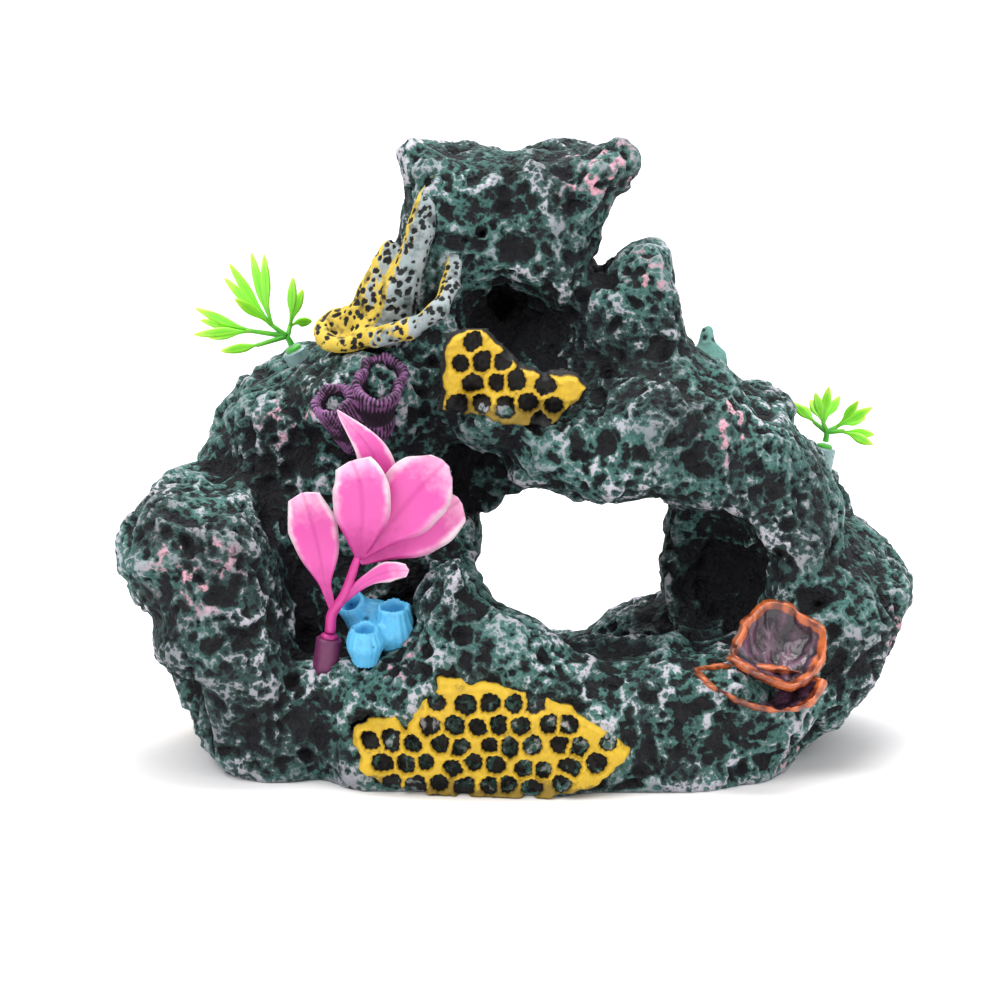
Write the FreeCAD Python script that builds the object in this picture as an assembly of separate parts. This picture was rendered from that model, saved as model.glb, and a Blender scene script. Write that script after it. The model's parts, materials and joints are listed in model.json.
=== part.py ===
"""Resin cave ornament for an aquarium: a hollow cast rock with a swim-through arch and an upper cave,
coral castings bonded to it, and three soft plastic plants that plug into the rock.

Millimetres, +Z up, front towards -Y. The origin is the middle of the whole ornament's footprint, on the
surface that it stands on.
"""
import FreeCAD, Part
import heapq
import math
import os

import Mesh

V = FreeCAD.Vector

# ---------------------------------------------------------------- driving dimensions
ROCK_STEP = 3.2            # spacing of the samples that the rock's surface is found on
ROCK_FACETS = 4200         # facets kept on the rock after thinning
CRAG_HEIGHT = 2.2          # how far the rock's broad lumps stand in or out
CRAG_WIDTH = 13.0          # size of those lumps
BLEND = 5.0                # radius of the fillets where two masses of rock run together
WALL = 10.0                # thickness of the casting around the hollow underside
HOLLOW_TOP = 80.0          # height that the hollow underside reaches
SOCKET_DEPTH = 8.0         # depth of the holes that the plants plug into
PLUG_RADIUS = 3.5          # radius of a plant's sleeve
PLUG_CLEARANCE = 0.06      # gap around the sleeve in its hole
BORE_RADIUS = 1.56         # radius of the bore in a sleeve
PIN_CLEARANCE = 0.06       # gap around the pin in that bore
PIN_LENGTH = 8.0           # how far the pin reaches into the sleeve
PLUG_END_GAP = 0.3         # gap under a sleeve's foot in its hole
PIN_END_GAP = 0.5          # gap under the pin's foot in its bore
CHAMFER = 0.4              # bevel on the ends of the sleeves and pins
COLLAR_RADIUS = 2.3        # radius of the pin's collar
COLLAR_HEIGHT = 1.2        # height of the pin's collar above the sleeve
NECK_GAP = 0.45            # gap between the collar and the stem that sways on it
STRAIGHT_NECK = 1.2        # length of stem above the gap before it bends
LEAF_THICK = 1.1           # thickness of the pink leaves
LEAFLET_THICK = 0.8        # thickness of the green leaflets
PINK_SLEEVE = 6.0          # height of the pink plant's sleeve above the rock
GREEN_SLEEVE = 3.0         # height of the green plants' sleeves above the rock
CELL_PITCH = 6.3           # distance between the honeycomb coral's cells
CELL_RADIUS = 2.35         # radius of a cell
CELL_DEPTH = 3.4           # depth of a cell
CELL_INSET = 1.7           # least distance from a cell's middle to the coral's edge
CRUST_THICK = 4.6          # how far the honeycomb corals stand out from the rock
CRUST_ROOT = 5.0           # how far under the rock's surface a crust is made before it is trimmed
CELL_STEP = 1.15           # spacing of the samples that the honeycomb corals are found on
TUBE_STEP = 1.15           # the same for the tube and plate corals
BRANCH_STEP = 1.4          # the same for the finger coral and the small corals
VENT_RADIUS = 1.6          # radius of the pinhole through the tower
DRAUGHT = -0.21            # the arch's tunnel falls this much for each millimetre towards the back


# ---------------------------------------------------------------- distance fields
def outline_distance(points, x, z):
    """Distance from (x, z) to a closed outline, negative inside it."""
    best, inside = 1e18, False
    x0, z0 = points[-1]
    for x1, z1 in points:
        ex, ez, wx, wz = x1 - x0, z1 - z0, x - x0, z - z0
        t = (wx * ex + wz * ez) / (ex * ex + ez * ez)
        t = 0.0 if t < 0.0 else 1.0 if t > 1.0 else t
        dx, dz = wx - ex * t, wz - ez * t
        d = dx * dx + dz * dz
        if d < best:
            best = d
        if (z1 > z) != (z0 > z) and x < (x0 - x1) * (z - z1) / (z0 - z1) + x1:
            inside = not inside
        x0, z0 = x1, z1
    return -math.sqrt(best) if inside else math.sqrt(best)


def slab(points, middle, half, edge, edge_deep=None, bow=(0.0, 0.0), bow_about=(0.0, 0.0)):
    """A mass with this front outline, half deep each side of y = middle. Its rim is rounded by edge across
    the outline and by edge_deep along y. bow curves its middle towards the back, by so much for each squared
    millimetre along x and z from the point bow_about. Fields are given as a function of (x, z) that gives
    one of y."""
    deep_round = edge_deep or edge
    small = min(edge, deep_round)

    def column(x, z):
        rim = (outline_distance(points, x, z) + edge) / edge
        centre = middle + bow[0] * (x - bow_about[0]) ** 2 + bow[1] * (z - bow_about[1]) ** 2

        def at(y):
            deep = (abs(y - centre) - half + deep_round) / deep_round
            return (min(max(rim, deep), 0.0) + math.hypot(max(rim, 0.0), max(deep, 0.0)) - 1.0) * small
        return at
    return column


def tunnel(points, front, back, edge, fall=0.0):
    """A passage with this outline at y = 0, from y = front to y = back, falling towards the back."""
    middle, half = (front + back) / 2, (back - front) / 2

    def column(x, z):
        def at(y):
            rim = outline_distance(points, x, z - fall * y) + edge
            deep = abs(y - middle) - half + edge
            return (min(max(rim, deep), 0.0)
                    + math.hypot(max(rim, 0.0), max(deep, 0.0)) - edge)
        return at
    return column


def blob(centre, radii):
    """An ellipsoid."""
    (cx, cy, cz), (rx, ry, rz) = centre, radii

    def column(x, z):
        ux, uz = (x - cx) / rx, (z - cz) / rz
        flat, steep = ux * ux + uz * uz, (ux / rx) ** 2 + (uz / rz) ** 2

        def at(y):
            uy = (y - cy) / ry
            size = math.sqrt(flat + uy * uy)
            slope = math.sqrt(steep + (uy / ry) ** 2)
            return size * (size - 1.0) / slope if slope > 1e-9 else -min(rx, ry, rz)
        return at
    return column


def rod(start, end, start_radius, end_radius):
    """A round rod that tapers, with round ends."""
    (ax, ay, az), (bx, by, bz) = start, end
    ex, ey, ez = bx - ax, by - ay, bz - az
    length = ex * ex + ey * ey + ez * ez

    def column(x, z):
        wx, wz = x - ax, z - az

        def at(y):
            wy = y - ay
            t = (wx * ex + wy * ey + wz * ez) / length
            t = 0.0 if t < 0.0 else 1.0 if t > 1.0 else t
            dx, dy, dz = wx - ex * t, wy - ey * t, wz - ez * t
            return math.sqrt(dx * dx + dy * dy + dz * dz) - start_radius - (end_radius - start_radius) * t
        return at
    return column


def smooth_min(a, b, k):
    h = max(k - abs(a - b), 0.0) / k
    return min(a, b) - h * h * k * 0.25


def lattice_value(i, j, k):
    """A fixed pseudo-random number from -1 to 1 for a lattice point."""
    n = (i * 374761393 + j * 668265263 + k * 2147483647 + 974711) & 0xFFFFFFFF
    n = ((n ^ (n >> 13)) * 1274126177) & 0xFFFFFFFF
    return ((n ^ (n >> 16)) & 0xFFFF) / 32767.5 - 1.0


def lumps(x, y, z, width):
    """Smooth noise from -1 to 1 with lumps of this width."""
    x, y, z = x / width, y / width, z / width
    i, j, k = math.floor(x), math.floor(y), math.floor(z)
    u, v, w = x - i, y - j, z - k
    u, v, w = u * u * (3 - 2 * u), v * v * (3 - 2 * v), w * w * (3 - 2 * w)
    total = 0.0
    for di, a in ((0, 1 - u), (1, u)):
        for dj, b in ((0, 1 - v), (1, v)):
            for dk, c in ((0, 1 - w), (1, w)):
                total += a * b * c * lattice_value(i + di, j + dj, k + dk)
    return total


# ---------------------------------------------------------------- surfaces from fields
def value_at(added, taken, blend, x, y, z):
    """One shape's field: the added fields run together, less the taken ones."""
    return combine([f(x, z) for f in added], [f(x, z) for f in taken], blend, y)


def combine(solid, holes, blend, y):
    d = 1e9
    for f in solid:
        d = smooth_min(d, f(y), blend)
    for f in holes:
        d = -smooth_min(-d, f(y), blend * 0.6)
    return d


def sample(low, high, step, added, taken, blend, rough=0.0, rough_width=10.0, within=None):
    """Values of a shape's field on a grid. Its lumps are rough high, and within(x, y, z, d) may limit it."""
    counts = [int(math.ceil((h - l) / step)) + 1 for l, h in zip(low, high)]
    values = {}
    for i in range(counts[0]):
        x = low[0] + i * step
        for k in range(counts[2]):
            z = low[2] + k * step
            solid = [f(x, z) for f in added]
            holes = [f(x, z) for f in taken]
            for j in range(counts[1]):
                y = low[1] + j * step
                d = combine(solid, holes, blend, y)
                if rough and abs(d) < 3 * rough + step:
                    d += rough * lumps(x, y, z, rough_width)
                if within:
                    d = within(x, y, z, d)
                if 0 in (i, j, k) or i == counts[0] - 1 or j == counts[1] - 1 or k == counts[2] - 1:
                    d = max(d, 0.1 * step)
                values[i, j, k] = d
    untangle(values, counts, step)
    return values, counts


def untangle(values, counts, step):
    """Changes the weakest sample where a square of four has its two diagonals on opposite sides of the
    surface, so that the surface never touches itself along an edge."""
    across = [((0, 0, 0), (1, 0, 0), (1, 1, 0), (0, 1, 0)), ((0, 0, 0), (1, 0, 0), (1, 0, 1), (0, 0, 1)),
              ((0, 0, 0), (0, 1, 0), (0, 1, 1), (0, 0, 1))]
    changed = True
    rounds = 0
    while changed and rounds < 12:
        changed = False
        rounds += 1
        for (i, j, k) in list(values):
            for square in across:
                keys = [(i + a, j + b, k + c) for a, b, c in square]
                if keys[2] not in values:
                    continue
                signs = [values[q] < 0 for q in keys]
                if signs[0] == signs[2] and signs[1] == signs[3] and signs[0] != signs[1]:
                    weakest = min((q for q in keys if values[q] >= 0), key=lambda q: values[q])
                    values[weakest] = -0.05 * step
                    changed = True
            cube = (i + 1, j + 1, k + 1)
            if cube in values:
                for flip in ((0, 0, 0), (1, 0, 0), (0, 1, 0), (0, 0, 1)):
                    a = (i + flip[0], j + flip[1], k + flip[2])
                    b = (i + 1 - flip[0], j + 1 - flip[1], k + 1 - flip[2])
                    others = [(i + p, j + q, k + r) for p in (0, 1) for q in (0, 1) for r in (0, 1)]
                    others = [q for q in others if q not in (a, b)]
                    ends = values[a] < 0
                    if ends == (values[b] < 0) and all((values[q] < 0) != ends for q in others):
                        if ends:
                            for q in others:
                                values[q] = min(values[q], -0.05 * step)
                        else:
                            values[a] = values[b] = -0.05 * step
                        changed = True


def surface_of(values, counts, low, step):
    """Points and triangles where the sampled field is zero, with one point in each cell it crosses."""
    corners = [(a, b, c) for a in (0, 1) for b in (0, 1) for c in (0, 1)]
    edges = [(p, q) for p in corners for q in corners
             if sum(q) - sum(p) == 1 and all(u <= v for u, v in zip(p, q))]
    points, cells = [], {}
    for i in range(counts[0] - 1):
        for j in range(counts[1] - 1):
            for k in range(counts[2] - 1):
                here = {c: values[i + c[0], j + c[1], k + c[2]] for c in corners}
                signs = [v < 0 for v in here.values()]
                if all(signs) or not any(signs):
                    continue
                total, n = [0.0, 0.0, 0.0], 0
                for p, q in edges:
                    a, b = here[p], here[q]
                    if (a < 0) != (b < 0):
                        t = min(max(a / (a - b), 0.05), 0.95)
                        for m in range(3):
                            total[m] += p[m] + (q[m] - p[m]) * t
                        n += 1
                cells[i, j, k] = len(points)
                points.append([low[m] + ((i, j, k)[m] + total[m] / n) * step for m in range(3)])
    triangles = []
    for (i, j, k) in cells:
        for axis in range(3):
            ahead = [i, j, k]
            ahead[axis] += 1
            a, b = values[i, j, k], values.get(tuple(ahead), 1.0)
            if (a < 0) == (b < 0):
                continue
            u, v = [m for m in range(3) if m != axis]
            ring = []
            for du, dv in ((0, 0), (1, 0), (1, 1), (0, 1)):
                cell = [i, j, k]
                cell[u] -= du
                cell[v] -= dv
                ring.append(cells[tuple(cell)])
            if (a < 0) != (axis == 1):
                ring.reverse()
            triangles += [(ring[0], ring[1], ring[2]), (ring[0], ring[2], ring[3])]
    return points, triangles


def largest_part(points, triangles):
    """Keeps the largest connected piece of a surface."""
    label = list(range(len(points)))

    def root(n):
        while label[n] != n:
            label[n] = label[label[n]]
            n = label[n]
        return n

    for a, b, c in triangles:
        label[root(a)] = root(b)
        label[root(b)] = root(c)
    sizes = {}
    for t in triangles:
        sizes[root(t[0])] = sizes.get(root(t[0]), 0) + 1
    best = max(sizes, key=lambda n: sizes[n])
    return [t for t in triangles if root(t[0]) == best]


def quadric(p, q, r):
    """A triangle's plane as the ten terms of its squared distance, weighted by its area."""
    n = (V(*q) - V(*p)).cross(V(*r) - V(*p))
    area = n.Length
    if area < 1e-12:
        return [0.0] * 10
    n = n * (1.0 / area)
    d = -n.dot(V(*p))
    u = (n.x, n.y, n.z, d)
    return [u[i] * u[j] * area for i in range(4) for j in range(i, 4)]


def misfit(q, p):
    x, y, z = p
    return (q[0] * x * x + 2 * q[1] * x * y + 2 * q[2] * x * z + 2 * q[3] * x + q[4] * y * y
            + 2 * q[5] * y * z + 2 * q[6] * y + q[7] * z * z + 2 * q[8] * z + q[9])


def thin(points, triangles, keep):
    """Merges neighbouring points, those that change the surface least first, until about keep triangles are
    left. No merge may pinch the surface or turn a triangle over."""
    points = [tuple(p) for p in points]
    faces = dict(enumerate(triangles))
    around = [set() for _ in points]
    errors = [[0.0] * 10 for _ in points]
    for n, t in faces.items():
        q = quadric(*(points[v] for v in t))
        for v in t:
            around[v].add(n)
            errors[v] = [a + b for a, b in zip(errors[v], q)]

    def neighbours(v):
        return {w for n in around[v] for w in faces[n]} - {v}

    def best_merge(a, b):
        q = [x + y for x, y in zip(errors[a], errors[b])]
        middle = tuple((x + y) / 2 for x, y in zip(points[a], points[b]))
        length = math.dist(points[a], points[b])
        return min((misfit(q, p) + 1e-3 * length * length, p) for p in (points[a], points[b], middle))

    def turns_over(v, other, place):
        for n in around[v]:
            t = faces[n]
            if other in t:
                continue
            old = [V(*points[w]) for w in t]
            new = [V(*place) if w == v else V(*points[w]) for w in t]
            before = (old[1] - old[0]).cross(old[2] - old[0])
            after = (new[1] - new[0]).cross(new[2] - new[0])
            longest = max(new[0].distanceToPoint(new[1]), new[1].distanceToPoint(new[2]),
                          new[2].distanceToPoint(new[0]))
            thin_sliver = after.Length < 0.08 * longest * longest
            if thin_sliver or before.dot(after) < 0.35 * before.Length * after.Length:
                return True
        return False

    stamp = [0] * len(points)
    queue = []
    for a in range(len(points)):
        for b in neighbours(a):
            if a < b:
                cost, place = best_merge(a, b)
                queue.append((cost, a, b, 0, 0, place))
    heapq.heapify(queue)
    while len(faces) > keep and queue:
        cost, a, b, stamp_a, stamp_b, place = heapq.heappop(queue)
        if stamp[a] != stamp_a or stamp[b] != stamp_b or not around[a] or not around[b]:
            continue
        shared = around[a] & around[b]
        if len(shared) != 2 or len(neighbours(a) & neighbours(b)) != 2:
            continue
        if turns_over(a, b, place) or turns_over(b, a, place):
            continue
        for n in shared:
            for v in faces[n]:
                around[v].discard(n)
            del faces[n]
        for n in around[b]:
            faces[n] = tuple(a if v == b else v for v in faces[n])
            around[a].add(n)
        around[b] = set()
        points[a] = place
        errors[a] = [x + y for x, y in zip(errors[a], errors[b])]
        stamp[a] += 1
        stamp[b] += 1
        for c in neighbours(a):
            cost, place = best_merge(a, c)
            heapq.heappush(queue, (cost, a, c, stamp[a], stamp[c], place))
    return points, list(faces.values())


def solid_of(points, triangles):
    """A closed solid of flat facets."""
    mesh = Mesh.Mesh([V(*points[v]) for t in triangles for v in t])
    shape = Part.Shape()
    shape.makeShapeFromMesh(mesh.Topology, 0.001)
    return right_way_out(Part.Solid(Part.Shell(shape.Faces)))


def right_way_out(solid):
    if solid.Volume < 0:
        solid.reverse()
    return solid


def grown(low, high, step, added, taken, keep, blend=2.0, **more):
    """The solid of a field."""
    values, counts = sample(low, high, step, added, taken, blend, **more)
    points, triangles = surface_of(values, counts, low, step)
    return solid_of(*thin(points, largest_part(points, triangles), keep))


# ---------------------------------------------------------------- solids from rings
def skin(rings):
    """A closed solid of flat facets over rings of points, its first and last rings closed by a fan."""
    n = len(rings[0])
    points = [tuple(p) for ring in rings for p in ring]
    triangles = []
    for row in range(len(rings) - 1):
        for a in range(n):
            b = (a + 1) % n
            low_a, low_b, high_a, high_b = row * n + a, row * n + b, (row + 1) * n + a, (row + 1) * n + b
            if math.dist(points[low_a], points[high_b]) < math.dist(points[low_b], points[high_a]):
                triangles += [(low_a, low_b, high_b), (low_a, high_b, high_a)]
            else:
                triangles += [(low_a, low_b, high_a), (low_b, high_b, high_a)]
    for first, turned in ((0, True), ((len(rings) - 1) * n, False)):
        points.append(tuple(sum(points[first + a][m] for a in range(n)) / n for m in range(3)))
        for a in range(n):
            pair = (first + a, first + (a + 1) % n)
            triangles.append((len(points) - 1,) + (pair[::-1] if turned else pair))
    return solid_of(points, triangles)


def frame_at(direction, side_hint=V(0, 1, 0)):
    """Two unit vectors across a direction, the second as near as may be to side_hint."""
    along = V(direction).normalize()
    face = side_hint - along * side_hint.dot(along)
    if face.Length < 1e-6:
        face = V(1, 0, 0) - along * along.x
    face.normalize()
    return along.cross(face), face


def spread(points, count):
    """count points evenly along a smooth curve through a few."""
    curve = Part.BSplineCurve()
    curve.interpolate([V(*p) for p in points])
    last = curve.LastParameter
    places = [last * i / (count - 1) for i in range(count)]
    return [curve.value(t) for t in places], [curve.tangent(t)[0] for t in places]


def round_skin(path, radii, sides=10, count=8):
    """A round stalk along a curve, its radius running evenly through the given ones."""
    points, tangents = spread(path, count)
    rings = []
    for i, (p, t) in enumerate(zip(points, tangents)):
        at = i / (count - 1) * (len(radii) - 1)
        n = min(int(at), len(radii) - 2)
        r = radii[n] + (radii[n + 1] - radii[n]) * (at - n)
        across, face = frame_at(t)
        rings.append([p + across * (r * math.cos(2 * math.pi * a / sides))
                      + face * (r * math.sin(2 * math.pi * a / sides)) for a in range(sides)])
    return skin(rings)


# A leaf's section: places across it, from -1 to 1, and which face each is on.
LEAF_SECTION = [(-1, 0), (-0.55, 1), (0, 1), (0.55, 1), (1, 0), (0.55, -1), (0, -1), (-0.55, -1)]


def blade(path, widths, thick, dish=0.0, face=V(0, -1, 0), count=9):
    """A leaf along a curve: its half-width runs through widths, and its edges stand dish times the half-width
    towards face."""
    points, tangents = spread(path, count)
    rings = []
    for i, (p, t) in enumerate(zip(points, tangents)):
        at = i / (count - 1) * (len(widths) - 1)
        n = min(int(at), len(widths) - 2)
        w = widths[n] + (widths[n + 1] - widths[n]) * (at - n)
        half = thick / 2 * min(1.0, 0.45 + w)
        across, out = frame_at(t, face)
        ring = []
        for u, side in LEAF_SECTION:
            lift = dish * w * u * u + side * half * (1.25 - 0.25 * abs(u))
            ring.append(p + across * (u * w) + out * lift)
        rings.append(ring)
    return skin(rings)


def lathe(profile, base, axis):
    """A turned solid: profile is (radius, height) from its foot, over its outside, to its top or the floor
    of its bore. It stands at base along axis."""
    points = [V(0, 0, profile[0][1])] + [V(r, 0, h) for r, h in profile] + [V(0, 0, profile[-1][1])]
    outline = Part.makePolygon(points + points[:1])
    turned = right_way_out(Part.Face(outline).revolve(V(0, 0, 0), V(0, 0, 1), 360))
    turned.Placement = FreeCAD.Placement(V(*base), FreeCAD.Rotation(V(0, 0, 1), V(*axis)))
    return turned


# ---------------------------------------------------------------- the rock
LEFT_CRAG = [(-96, 77), (-85, 78), (-79, 75), (-71, 77), (-62, 66), (-63, 55), (-60, 41), (-53, 27),
             (-45, 18), (-44, -34), (-69, -34), (-77, -1), (-85, 5), (-90, 13), (-94, 19), (-92, 24),
             (-97, 29), (-97, 37), (-95, 42), (-100, 44), (-103, 50), (-106, 57), (-104, 64), (-100, 73)]
FRONT_BAR = [(-57, 23), (-51, 31), (-43, 33), (-29, 37), (-22, 47), (-18, 60), (-14, 63), (-10, 55),
             (-8, 48), (2, 47), (10, 41), (17, 35), (36, 34), (52, 37), (63, 37), (80, 23), (84, 16),
             (78, 8), (70, -34), (-50, -34)]
RIGHT_PILLAR = [(44, 65), (54, 69), (70, 75), (92, 69), (93, 60), (102, 55), (113, 48), (112, 41),
                (108, 32), (102, 21), (97, 14), (87, 6), (81, -2), (73, -34), (38, -34), (51, 29),
                (43, 40)]
ARCH = [(-19, 100), (-10, 112), (6, 104), (21, 102), (25, 107), (50, 112), (59, 107), (68, 98), (77, 93),
        (87, 81), (92, 70), (82, 59), (70, 53), (54, 69), (37, 71), (26, 69), (10, 75), (2, 78), (-1, 86),
        (-16, 90)]
LEFT_WALL = [(-78, 74), (-80, 92), (-74, 101), (-59, 108), (-48, 113), (-30, 117), (-16, 116), (-11, 109),
             (-11, 94), (-16, 86), (-19, 74), (-8, 61), (-9, 48), (-20, 36), (-40, -34), (-60, -34),
             (-68, 48), (-74, 68)]
TOWER = [(-29, 164), (-26, 168), (-15, 166), (1, 165), (9, 166), (26, 168), (32, 166), (33, 161),
         (27, 152), (23, 142), (21, 134), (22, 124), (24, 90), (-20, 90), (-30, 112), (-34, 127),
         (-30, 144), (-28, 155)]
PEAK = [(18, 125), (21, 130), (29, 134), (34, 140), (43, 140), (46, 130), (48, 117), (51, 110), (51, 97),
        (37, 92), (21, 95), (17, 111)]
REAR_SILL = [(-66, -34), (-66, 30), (-30, 34), (0, 24), (22, 22), (30, 30), (38, 34), (56, 36), (84, 30),
             (84, -34)]
HONEYCOMB_FRONT = [(-42, 17), (-30, 22), (-27, 18), (-18, 32), (-2, 31), (14, 26), (30, 16), (34, 13),
                   (32, 9), (25, 3), (-2, -4), (-34, 2), (-40, 6)]
HONEYCOMB_UPPER = [(-17, 120), (-7, 123), (-2, 118), (3, 112), (10, 110), (19, 109), (21, 106), (18, 102),
                   (11, 95), (3, 96), (-10, 99), (-18, 100), (-17, 110)]
HOLE = [(-7, 65), (2, 69), (10, 75), (19, 69), (30, 68), (40, 70), (47, 60), (44, 53), (43, 43), (29, 38),
        (19, 29), (6, 37), (-5, 41), (-10, 49)]


def rock_fields():
    """What the casting is made of, and what is hollowed out of it."""
    added = [
        slab(LEFT_CRAG, -13, 36, 16, 26),
        slab(FRONT_BAR, -37, 23, 12, 17, bow=(0.0028, 0.0), bow_about=(8.0, 0.0)),
        slab(RIGHT_PILLAR, 2, 38, 16, 27),
        slab(ARCH, -4, 33, 12, 24, bow=(0.0022, 0.0), bow_about=(18.0, 0.0)),
        slab(LEFT_WALL, 16, 32, 14, 22),
        slab(TOWER, 10, 23, 8, 16),
        slab(PEAK, 4, 22, 7, 16),
        slab(REAR_SILL, 32, 17, 10, 14, bow=(-0.0010, 0.0)),
        blob((-40, -8, 100), (19, 20, 14)),
        blob((-97, -8, 56), (12, 20, 13)),
        blob((96, 6, 44), (14, 26, 15)),
        blob((-70, 26, 64), (20, 22, 30)),
        blob((62, 26, 78), (20, 16, 18)),
        blob((-6, 26, 104), (26, 14, 22)),
        rod((-16, -46, 46), (-13, -4, 58), 8, 9),
        blob((-50, -38, 26), (9, 9, 8.5)),
        blob((84, 28, 59), (15, 15, 14)),
        blob((74, 22, 93), (5, 6, 6)),
        rod((14, 2, 160), (30, -2, 165), 8, 5),
        rod((-22, 4, 160), (-25, 0, 165), 8, 4),
    ]
    taken = [
        tunnel(HOLE, -90, 90, 1.0, DRAUGHT),
        blob((56, -24, 52), (16, 22, 19)),
        blob((-12, -26, 68), (13, 20, 17)),
        blob((1, -25, 119), (19, 31, 15)),
        blob((-1, 10, 136), (13, 13, 16)),
        blob((4, 40, 143), (9, 22, 8)),
        blob((-44, -34, 58), (17, 20, 25)),
        blob((3, 20, 176), (13, 16, 11)),
        blob((-90, -40, 24), (10, 14, 9)),
        blob((20, -66, 30), (26, 10, 10)),
        blob((70, 44, 50), (20, 14, 16)),
        blob((-46, 60, 60), (18, 14, 24)),
    ]
    return added, taken


def rock_value(x, y, z):
    """The casting's field with its broad lumps, for finding where its surface is."""
    added, taken = rock_fields()
    return value_at(added, taken, BLEND, x, y, z) + CRAG_HEIGHT * lumps(x, y, z, CRAG_WIDTH)


def hollow_below(x, y, z, d):
    """Hollows the casting out from underneath, leaving its wall."""
    return max(d, -max(d + WALL, z - HOLLOW_TOP))


def surface_point(inside, direction, reach=40.0):
    """Where a line from a point in the rock comes out of it."""
    start, along = V(*inside), V(*direction).normalize()
    near, far = 0.0, reach
    while far - near > 0.05:
        middle = (near + far) / 2
        p = start + along * middle
        if rock_value(p.x, p.y, p.z) < 0:
            near = middle
        else:
            far = middle
    return start + along * near


def prism(base, axis, radius, length, sides=24):
    """A straight round bar of flat facets."""
    across, face = frame_at(axis)
    along = V(*axis).normalize()
    turns = [2 * math.pi * a / sides for a in range(sides)]
    rim = [V(*base) + across * (radius * math.cos(t)) + face * (radius * math.sin(t)) for t in turns]
    return right_way_out(Part.Face(Part.makePolygon(rim + rim[:1])).extrude(along * length))


def rock():
    """The casting as one closed solid, flat underneath."""
    added, taken = rock_fields()
    solid = grown((-122, -72, -9), (126, 62, 182), ROCK_STEP, added, taken, ROCK_FACETS, blend=BLEND,
                  rough=CRAG_HEIGHT, rough_width=CRAG_WIDTH, within=hollow_below)
    return solid.cut(floor_block())


def floor_block():
    """Everything below the surface that the ornament stands on."""
    return Part.makeBox(400, 400, 60, V(-200, -200, -60))


def vent():
    """The pinhole through the tower, a little below level towards the back."""
    return prism(V(-7, -30, 149), (0.0, 1.0, -0.19), VENT_RADIUS, 90, 8)


# ---------------------------------------------------------------- corals
def casting():
    """The rock's field by columns, for corals that lie on it."""
    added, taken = rock_fields()

    def column(x, z):
        solid = [f(x, z) for f in added]
        holes = [f(x, z) for f in taken]
        return lambda y: combine(solid, holes, BLEND, y) + CRAG_HEIGHT * lumps(x, y, z, CRAG_WIDTH)
    return column


def crust(points, thick, edge, front=0.0):
    """A coral crust that follows the rock's front, inside this outline and ahead of y = front."""
    rock_column = casting()

    def column(x, z):
        rim = outline_distance(points, x, z) + edge
        at_rock = rock_column(x, z)

        def at(y):
            rise = at_rock(y)
            deep = max(rise - thick, -CRUST_ROOT - rise, y - front) + edge
            return min(max(rim, deep), 0.0) + math.hypot(max(rim, 0.0), max(deep, 0.0)) - edge
        return at
    return column


def cells_in(points, pitch, inset):
    """Centres of the coral's cells: a close-packed grid inside an outline, each a little out of place."""
    left, right = min(p[0] for p in points), max(p[0] for p in points)
    bottom, top = min(p[1] for p in points), max(p[1] for p in points)
    centres = []
    row = 0
    z = bottom + inset
    while z < top:
        x = left + inset + (row % 2) * pitch / 2
        column = 0
        while x < right:
            cx = x + 0.16 * pitch * lattice_value(row, column, 5)
            cz = z + 0.16 * pitch * lattice_value(row, column, 9)
            if outline_distance(points, cx, cz) < -inset:
                centres.append((cx, cz))
            x += pitch
            column += 1
        z += pitch * 0.87
        row += 1
    return centres


def cell_pit(centre, radius, floor):
    """A cell sunk into a crust down to its floor, that far above the rock."""
    rock_column = casting()

    def column(x, z):
        across = math.hypot(x - centre[0], z - centre[1]) - radius
        if across > 3.0:
            return lambda y: across
        at_rock = rock_column(x, z)
        return lambda y: max(across, floor - at_rock(y))
    return column


def honeycomb(points, low, high, front, keep):
    """A crust of honeycomb coral."""
    floor = CRUST_THICK - CELL_DEPTH
    taken = [cell_pit(c, CELL_RADIUS, floor) for c in cells_in(points, CELL_PITCH, CELL_INSET)]
    return grown(low, high, CELL_STEP, [crust(points, CRUST_THICK, 1.6, front)], taken, keep, blend=0.8)


def cup(start, end, start_radius, end_radius, wave=0.0, waves=5):
    """A tapered round bar with flat ends, its mouth waved."""
    (ax, ay, az), (bx, by, bz) = start, end
    length = math.dist(start, end)
    ux, uy, uz = (bx - ax) / length, (by - ay) / length, (bz - az) / length
    across, face = frame_at(V(ux, uy, uz))

    def column(x, z):
        def at(y):
            wx, wy, wz = x - ax, y - ay, z - az
            along = wx * ux + wy * uy + wz * uz
            px, py, pz = wx - along * ux, wy - along * uy, wz - along * uz
            out = math.sqrt(px * px + py * py + pz * pz)
            turn = math.atan2(px * face.x + py * face.y + pz * face.z,
                              px * across.x + py * across.y + pz * across.z)
            t = min(max(along / length, 0.0), 1.0)
            radius = start_radius + (end_radius - start_radius) * t
            return max(out - radius, -along, along - length - wave * math.sin(waves * turn))
        return at
    return column


def ring(centre, axis, radius, thick):
    """A round ring."""
    ux, uy, uz = V(*axis).normalize()
    cx, cy, cz = centre

    def column(x, z):
        def at(y):
            wx, wy, wz = x - cx, y - cy, z - cz
            along = wx * ux + wy * uy + wz * uz
            out = math.sqrt(max(wx * wx + wy * wy + wz * wz - along * along, 0.0))
            return math.hypot(out - radius, along) - thick
        return at
    return column


def limb(points, start_radius, end_radius):
    """A rod through several points, tapering evenly."""
    n = len(points) - 1
    radii = [start_radius + (end_radius - start_radius) * i / n for i in range(n + 1)]
    return [rod(points[i], points[i + 1], radii[i], radii[i + 1]) for i in range(n)]


def bounds_of(points, margin):
    return (tuple(min(p[m] for p in points) - margin for m in range(3)),
            tuple(max(p[m] for p in points) + margin for m in range(3)))


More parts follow.
